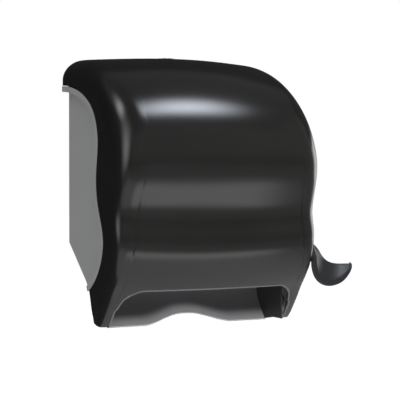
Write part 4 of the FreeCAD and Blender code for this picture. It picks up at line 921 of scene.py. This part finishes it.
@dataclass
class Studio:
    """Pale floor, white surroundings, dark curtains that only reflections see, lamps and camera."""

    floor_z: float = -0.55
    target: Triple = (0.0, -0.100, -0.027)
    camera_at: Triple = (-0.6124, -1.4690, 0.0018)
    lens: float = 111.6
    shift: Pair = (0.0268, -0.0258)

    def camera(self) -> None:
        """Camera at the photograph's viewing angle."""
        data = bpy.data.cameras.new("view")
        data.lens = self.lens
        data.sensor_width = 36.0
        data.shift_x, data.shift_y = self.shift
        data.clip_start, data.clip_end = 0.05, 50.0
        camera = bpy.data.objects.new("view", data)
        camera.location = self.camera_at
        toward = Vector(self.target) - Vector(self.camera_at)
        camera.rotation_euler = toward.to_track_quat("-Z", "Y").to_euler()
        bpy.context.scene.collection.objects.link(camera)
        bpy.context.scene.camera = camera

    def lamp(self, name: str, where: Triple, aim: Triple,
             size: Pair, power: float) -> None:
        """Rectangular lamp.

        Args:
            name: its name.
            where: its place in metres.
            aim: the point that it faces.
            size: width and height in metres.
            power: watts.
        """
        data = bpy.data.lights.new(name, "AREA")
        data.shape = "RECTANGLE"
        data.size, data.size_y = size
        data.energy = power
        lamp = bpy.data.objects.new(name, data)
        lamp.visible_glossy = False
        lamp.location = where
        lamp.rotation_euler = (Vector(aim) - Vector(where)).to_track_quat("-Z", "Y").to_euler()
        bpy.context.scene.collection.objects.link(lamp)

    def white_to_eye(self, nodes: Nodes, links: Links) -> Socket:
        """Socket that is 1 for camera, glossy and transmission rays, and 0 for the rest."""
        path = nodes.new("ShaderNodeLightPath")
        first, second = math_node(nodes, "MAXIMUM"), math_node(nodes, "MAXIMUM")
        links.new(path.outputs["Is Camera Ray"], first.inputs[0])
        links.new(path.outputs["Is Glossy Ray"], first.inputs[1])
        links.new(first.outputs[0], second.inputs[0])
        links.new(path.outputs["Is Transmission Ray"], second.inputs[1])
        return second.outputs[0]

    def world(self) -> None:
        """White surroundings to the eye, soft grey light for the object."""
        world = bpy.data.worlds.new("studio")
        bpy.context.scene.world = world
        world.use_nodes = True
        nodes, links = world.node_tree.nodes, world.node_tree.links
        nodes.clear()
        soft = nodes.new("ShaderNodeBackground")
        soft.inputs["Color"].default_value = (0.96, 0.98, 1.0, 1)
        soft.inputs["Strength"].default_value = 0.42
        white = nodes.new("ShaderNodeBackground")
        white.inputs["Color"].default_value = (1, 1, 1, 1)
        white.inputs["Strength"].default_value = 1.0
        mix = nodes.new("ShaderNodeMixShader")
        out = nodes.new("ShaderNodeOutputWorld")
        links.new(self.white_to_eye(nodes, links), mix.inputs[0])
        links.new(soft.outputs[0], mix.inputs[1])
        links.new(white.outputs[0], mix.inputs[2])
        links.new(mix.outputs[0], out.inputs["Surface"])

    def floor(self) -> None:
        """Plain pale floor well below the object."""
        size = 12.0
        grid = np.array([[[-size, -size, 0], [-size, size, 0]], [[size, -size, 0], [size, size, 0]]], float)
        floor = make_object("floor", grid + np.array([0, 0, self.floor_z]), grid_faces(2, 2), smooth=False)
        material = bpy.data.materials.new("pale floor")
        material.use_nodes = True
        nodes = material.node_tree.nodes
        shader = nodes["Principled BSDF"]
        shader.inputs["Base Color"].default_value = (0.9, 0.9, 0.9, 1)
        shader.inputs["Roughness"].default_value = 0.9
        shader.inputs["Emission Color"].default_value = (1, 1, 1, 1)
        lift = math_node(nodes, "MULTIPLY", 0.62)
        links = material.node_tree.links
        links.new(self.white_to_eye(nodes, links), lift.inputs[0])
        links.new(lift.outputs[0], shader.inputs["Emission Strength"])
        floor.data.materials.append(material)

    def curtain(self, name: str, corners: list[Triple], color: Triple,
                soft: Pair = (0.0, 0.0)) -> None:
        """Studio card that only reflections see, evenly lit or fading towards its own edges.

        Args:
            name: its name.
            corners: four corners in metres, round the card.
            color: its light.
            soft: shares of its width and height over which it fades out.
        """
        card = make_object(name, np.array(corners, float), [[0, 1, 2, 3]], smooth=False)
        layer = card.data.uv_layers.new(name="card")
        layer.data.foreach_set("uv", np.array([0, 0, 1, 0, 1, 1, 0, 1], float))
        material = bpy.data.materials.new(name)
        material.use_nodes = True
        nodes, links = material.node_tree.nodes, material.node_tree.links
        nodes.clear()
        glow = nodes.new("ShaderNodeEmission")
        glow.inputs["Color"].default_value = (*color, 1)
        out = nodes.new("ShaderNodeOutputMaterial")
        if max(soft) > 0:
            self.fade(nodes, links, glow, soft, out)
        else:
            links.new(glow.outputs[0], out.inputs["Surface"])
        card.data.materials.append(material)
        card.visible_camera = card.visible_diffuse = card.visible_shadow = card.visible_transmission = False

    @staticmethod
    def fade(nodes: Nodes, links: Links, glow: bpy.types.Node,
             soft: Pair, out: bpy.types.Node) -> None:
        """Let a card turn clear towards its edges, by a smooth step across each of its two directions."""
        where = nodes.new("ShaderNodeTexCoord")
        split = nodes.new("ShaderNodeSeparateXYZ")
        links.new(where.outputs["UV"], split.inputs[0])
        both = math_node(nodes, "MULTIPLY")
        for axis in (0, 1):
            centred = math_node(nodes, "SUBTRACT", 0.5)
            links.new(split.outputs[axis], centred.inputs[0])
            away = math_node(nodes, "ABSOLUTE")
            links.new(centred.outputs[0], away.inputs[0])
            step = nodes.new("ShaderNodeMapRange")
            step.interpolation_type = "SMOOTHSTEP"
            step.inputs["From Min"].default_value = 0.5
            step.inputs["From Max"].default_value = 0.5 - 0.5 * max(soft[axis], 0.001)
            links.new(away.outputs[0], step.inputs["Value"])
            links.new(step.outputs[0], both.inputs[axis])
        clear = nodes.new("ShaderNodeBsdfTransparent")
        mix = nodes.new("ShaderNodeMixShader")
        links.new(both.outputs[0], mix.inputs[0])
        links.new(clear.outputs[0], mix.inputs[1])
        links.new(glow.outputs[0], mix.inputs[2])
        links.new(mix.outputs[0], out.inputs["Surface"])

    def box(self, name: str, centre: Triple, size: Pair,
            color: Triple, soft: Pair) -> None:
        """Fading card that faces the object, its width level.

        Args:
            name: its name.
            centre: its middle in metres.
            size: width and height in metres.
            color: its light.
            soft: shares over which it fades out.
        """
        middle = np.array(centre)
        facing = unit(middle - np.array(self.target))
        level = unit(np.cross(np.array([0, 0, 1.0]), facing))
        up = np.cross(facing, level)
        corners = [middle + level * a * size[0] / 2 + up * b * size[1] / 2 for a, b in CARD_CORNERS]
        self.curtain(name, [tuple(c) for c in corners], color, soft)

    def walls(self, low: float, high: float, middle: float) -> None:
        """Cards that stand round the object, and the one over it.

        Args:
            low: height of their feet.
            high: height of their tops.
            middle: height where the front one changes its tone.
        """
        hood = 0.75
        for name, start, end, foot, top, color in (
                ("front curtain", (-3.5, -2.6), (3.5, -2.6), middle, high, (0.3, 0.3, 0.295)),
                ("front skirt", (-3.5, -2.6), (3.5, -2.6), low, middle, (0.2, 0.2, 0.195)),
                ("right curtain", (3.2, -2.6), (3.2, 0.0), low, high, (0.28, 0.28, 0.275)),
                ("right hood", (3.2, 0.0), (3.2, 2.6), hood, high, (0.06, 0.06, 0.06)),
                ("rim strip", (3.1, 0.0), (3.1, 1.7), low, hood, (2.6, 2.6, 2.6)),
                ("left curtain", (-3.4, -2.6), (-3.4, 3.0), low, high, (0.05, 0.05, 0.05)),
                ("back curtain", (-3.4, 2.6), (3.2, 2.6), low, high, (0.03, 0.03, 0.03))):
            self.curtain(name, [(*start, foot), (*end, foot), (*end, top), (*start, top)], color)
        self.mat("ceiling", (-3.5, 3.5), (-2.6, 3.0), high, (0.14, 0.14, 0.14))

    def mat(self, name: str, x: Pair, y: Pair, height: float, color: Triple, soft: Pair = (0.0, 0.0)) -> None:
        """Level card between two side stations and two depths.

        Args:
            name: its name.
            x: its left and right ends.
            y: its front and back ends.
            height: where it lies.
            color: its light.
            soft: shares over which it fades out.
        """
        corners = [(x[0], y[0], height), (x[1], y[0], height), (x[1], y[1], height), (x[0], y[1], height)]
        self.curtain(name, corners, color, soft)

    def mats(self, near: float, far: float) -> None:
        """Cards that lie on the floor: light ones before the object and a dark one at its left and back.

        Args:
            near: height of the lower cards.
            far: height of the upper one.
        """
        step = 0.003
        self.mat("near mat", (-3.5, 3.5), (-2.6, 0.5), near, (0.32, 0.32, 0.32))
        self.mat("mid mat", (-1.6, 0.95), (-1.06, 0.5), near + step, (1.0, 1.0, 1.0), (0.5, 0.3))
        self.mat("bright mat", (-0.45, 0.8), (-0.93, -0.6), near + 2 * step, (2.5, 2.5, 2.5), (0.5, 1.0))
        self.mat("dark mat", (-3.5, -0.25), (-0.3, 3.0), far, (0.05, 0.05, 0.05))

    def overhead_glow(self) -> None:
        """Bright level card over the right front, whose reflection is the cover's highlight."""
        along, across = np.array([0.978, -0.208, 0]) * 0.54, np.array([0.208, 0.978, 0]) * 0.33
        middle = np.array([0.31, -0.45, 1.24])
        ends = [middle + along * a + across * b for a, b in CARD_CORNERS]
        self.curtain("overhead glow", [tuple(c) for c in ends], (14.0, 15.0, 16.6), (1.0, 1.0))

    def build(self) -> None:
        """Everything round the object."""
        self.camera()
        self.world()
        self.floor()
        self.lamp("overhead box", (0.55, -0.55, 1.25), (0, -0.1, 0), (0.7, 0.42), 14)
        self.lamp("right rim", (1.5, 1.1, 0.1), (0.1, -0.1, 0), (0.4, 1.6), 22)
        self.lamp("front fill", (-0.9, -2.4, 1.2), (0, -0.1, 0), (1.2, 1.0), 26)
        self.lamp("mouth fill", (0.1, -1.9, -0.3), (0, -0.1, -0.16), (0.5, 0.3), 16)
        self.walls(self.floor_z, high=3.2, middle=0.35)
        self.mats(self.floor_z + 0.01, self.floor_z + 0.02)
        self.overhead_glow()
        self.box("left glow", (-2.12, -0.55, 0.8), (1.7, 3.4), (2.9, 2.95, 3.0), (1.0, 1.0))
        self.box("left top glow", (-1.25, 0.21, 1.5), (0.8, 1.0), (6.0, 6.1, 6.3), (1.0, 1.0))
        bpy.context.scene.view_settings.view_transform = "Standard"


def main() -> None:
    """Build the dispenser's pieces, then the studio."""
    logging.basicConfig(level=logging.INFO, format="%(name)s: %(message)s")
    dress_nodes()
    FrontCover().build()
    TowelChute().build()
    PushLever().build()
    Flange().build()
    Studio().build()


if __name__ == "__main__":
    main()
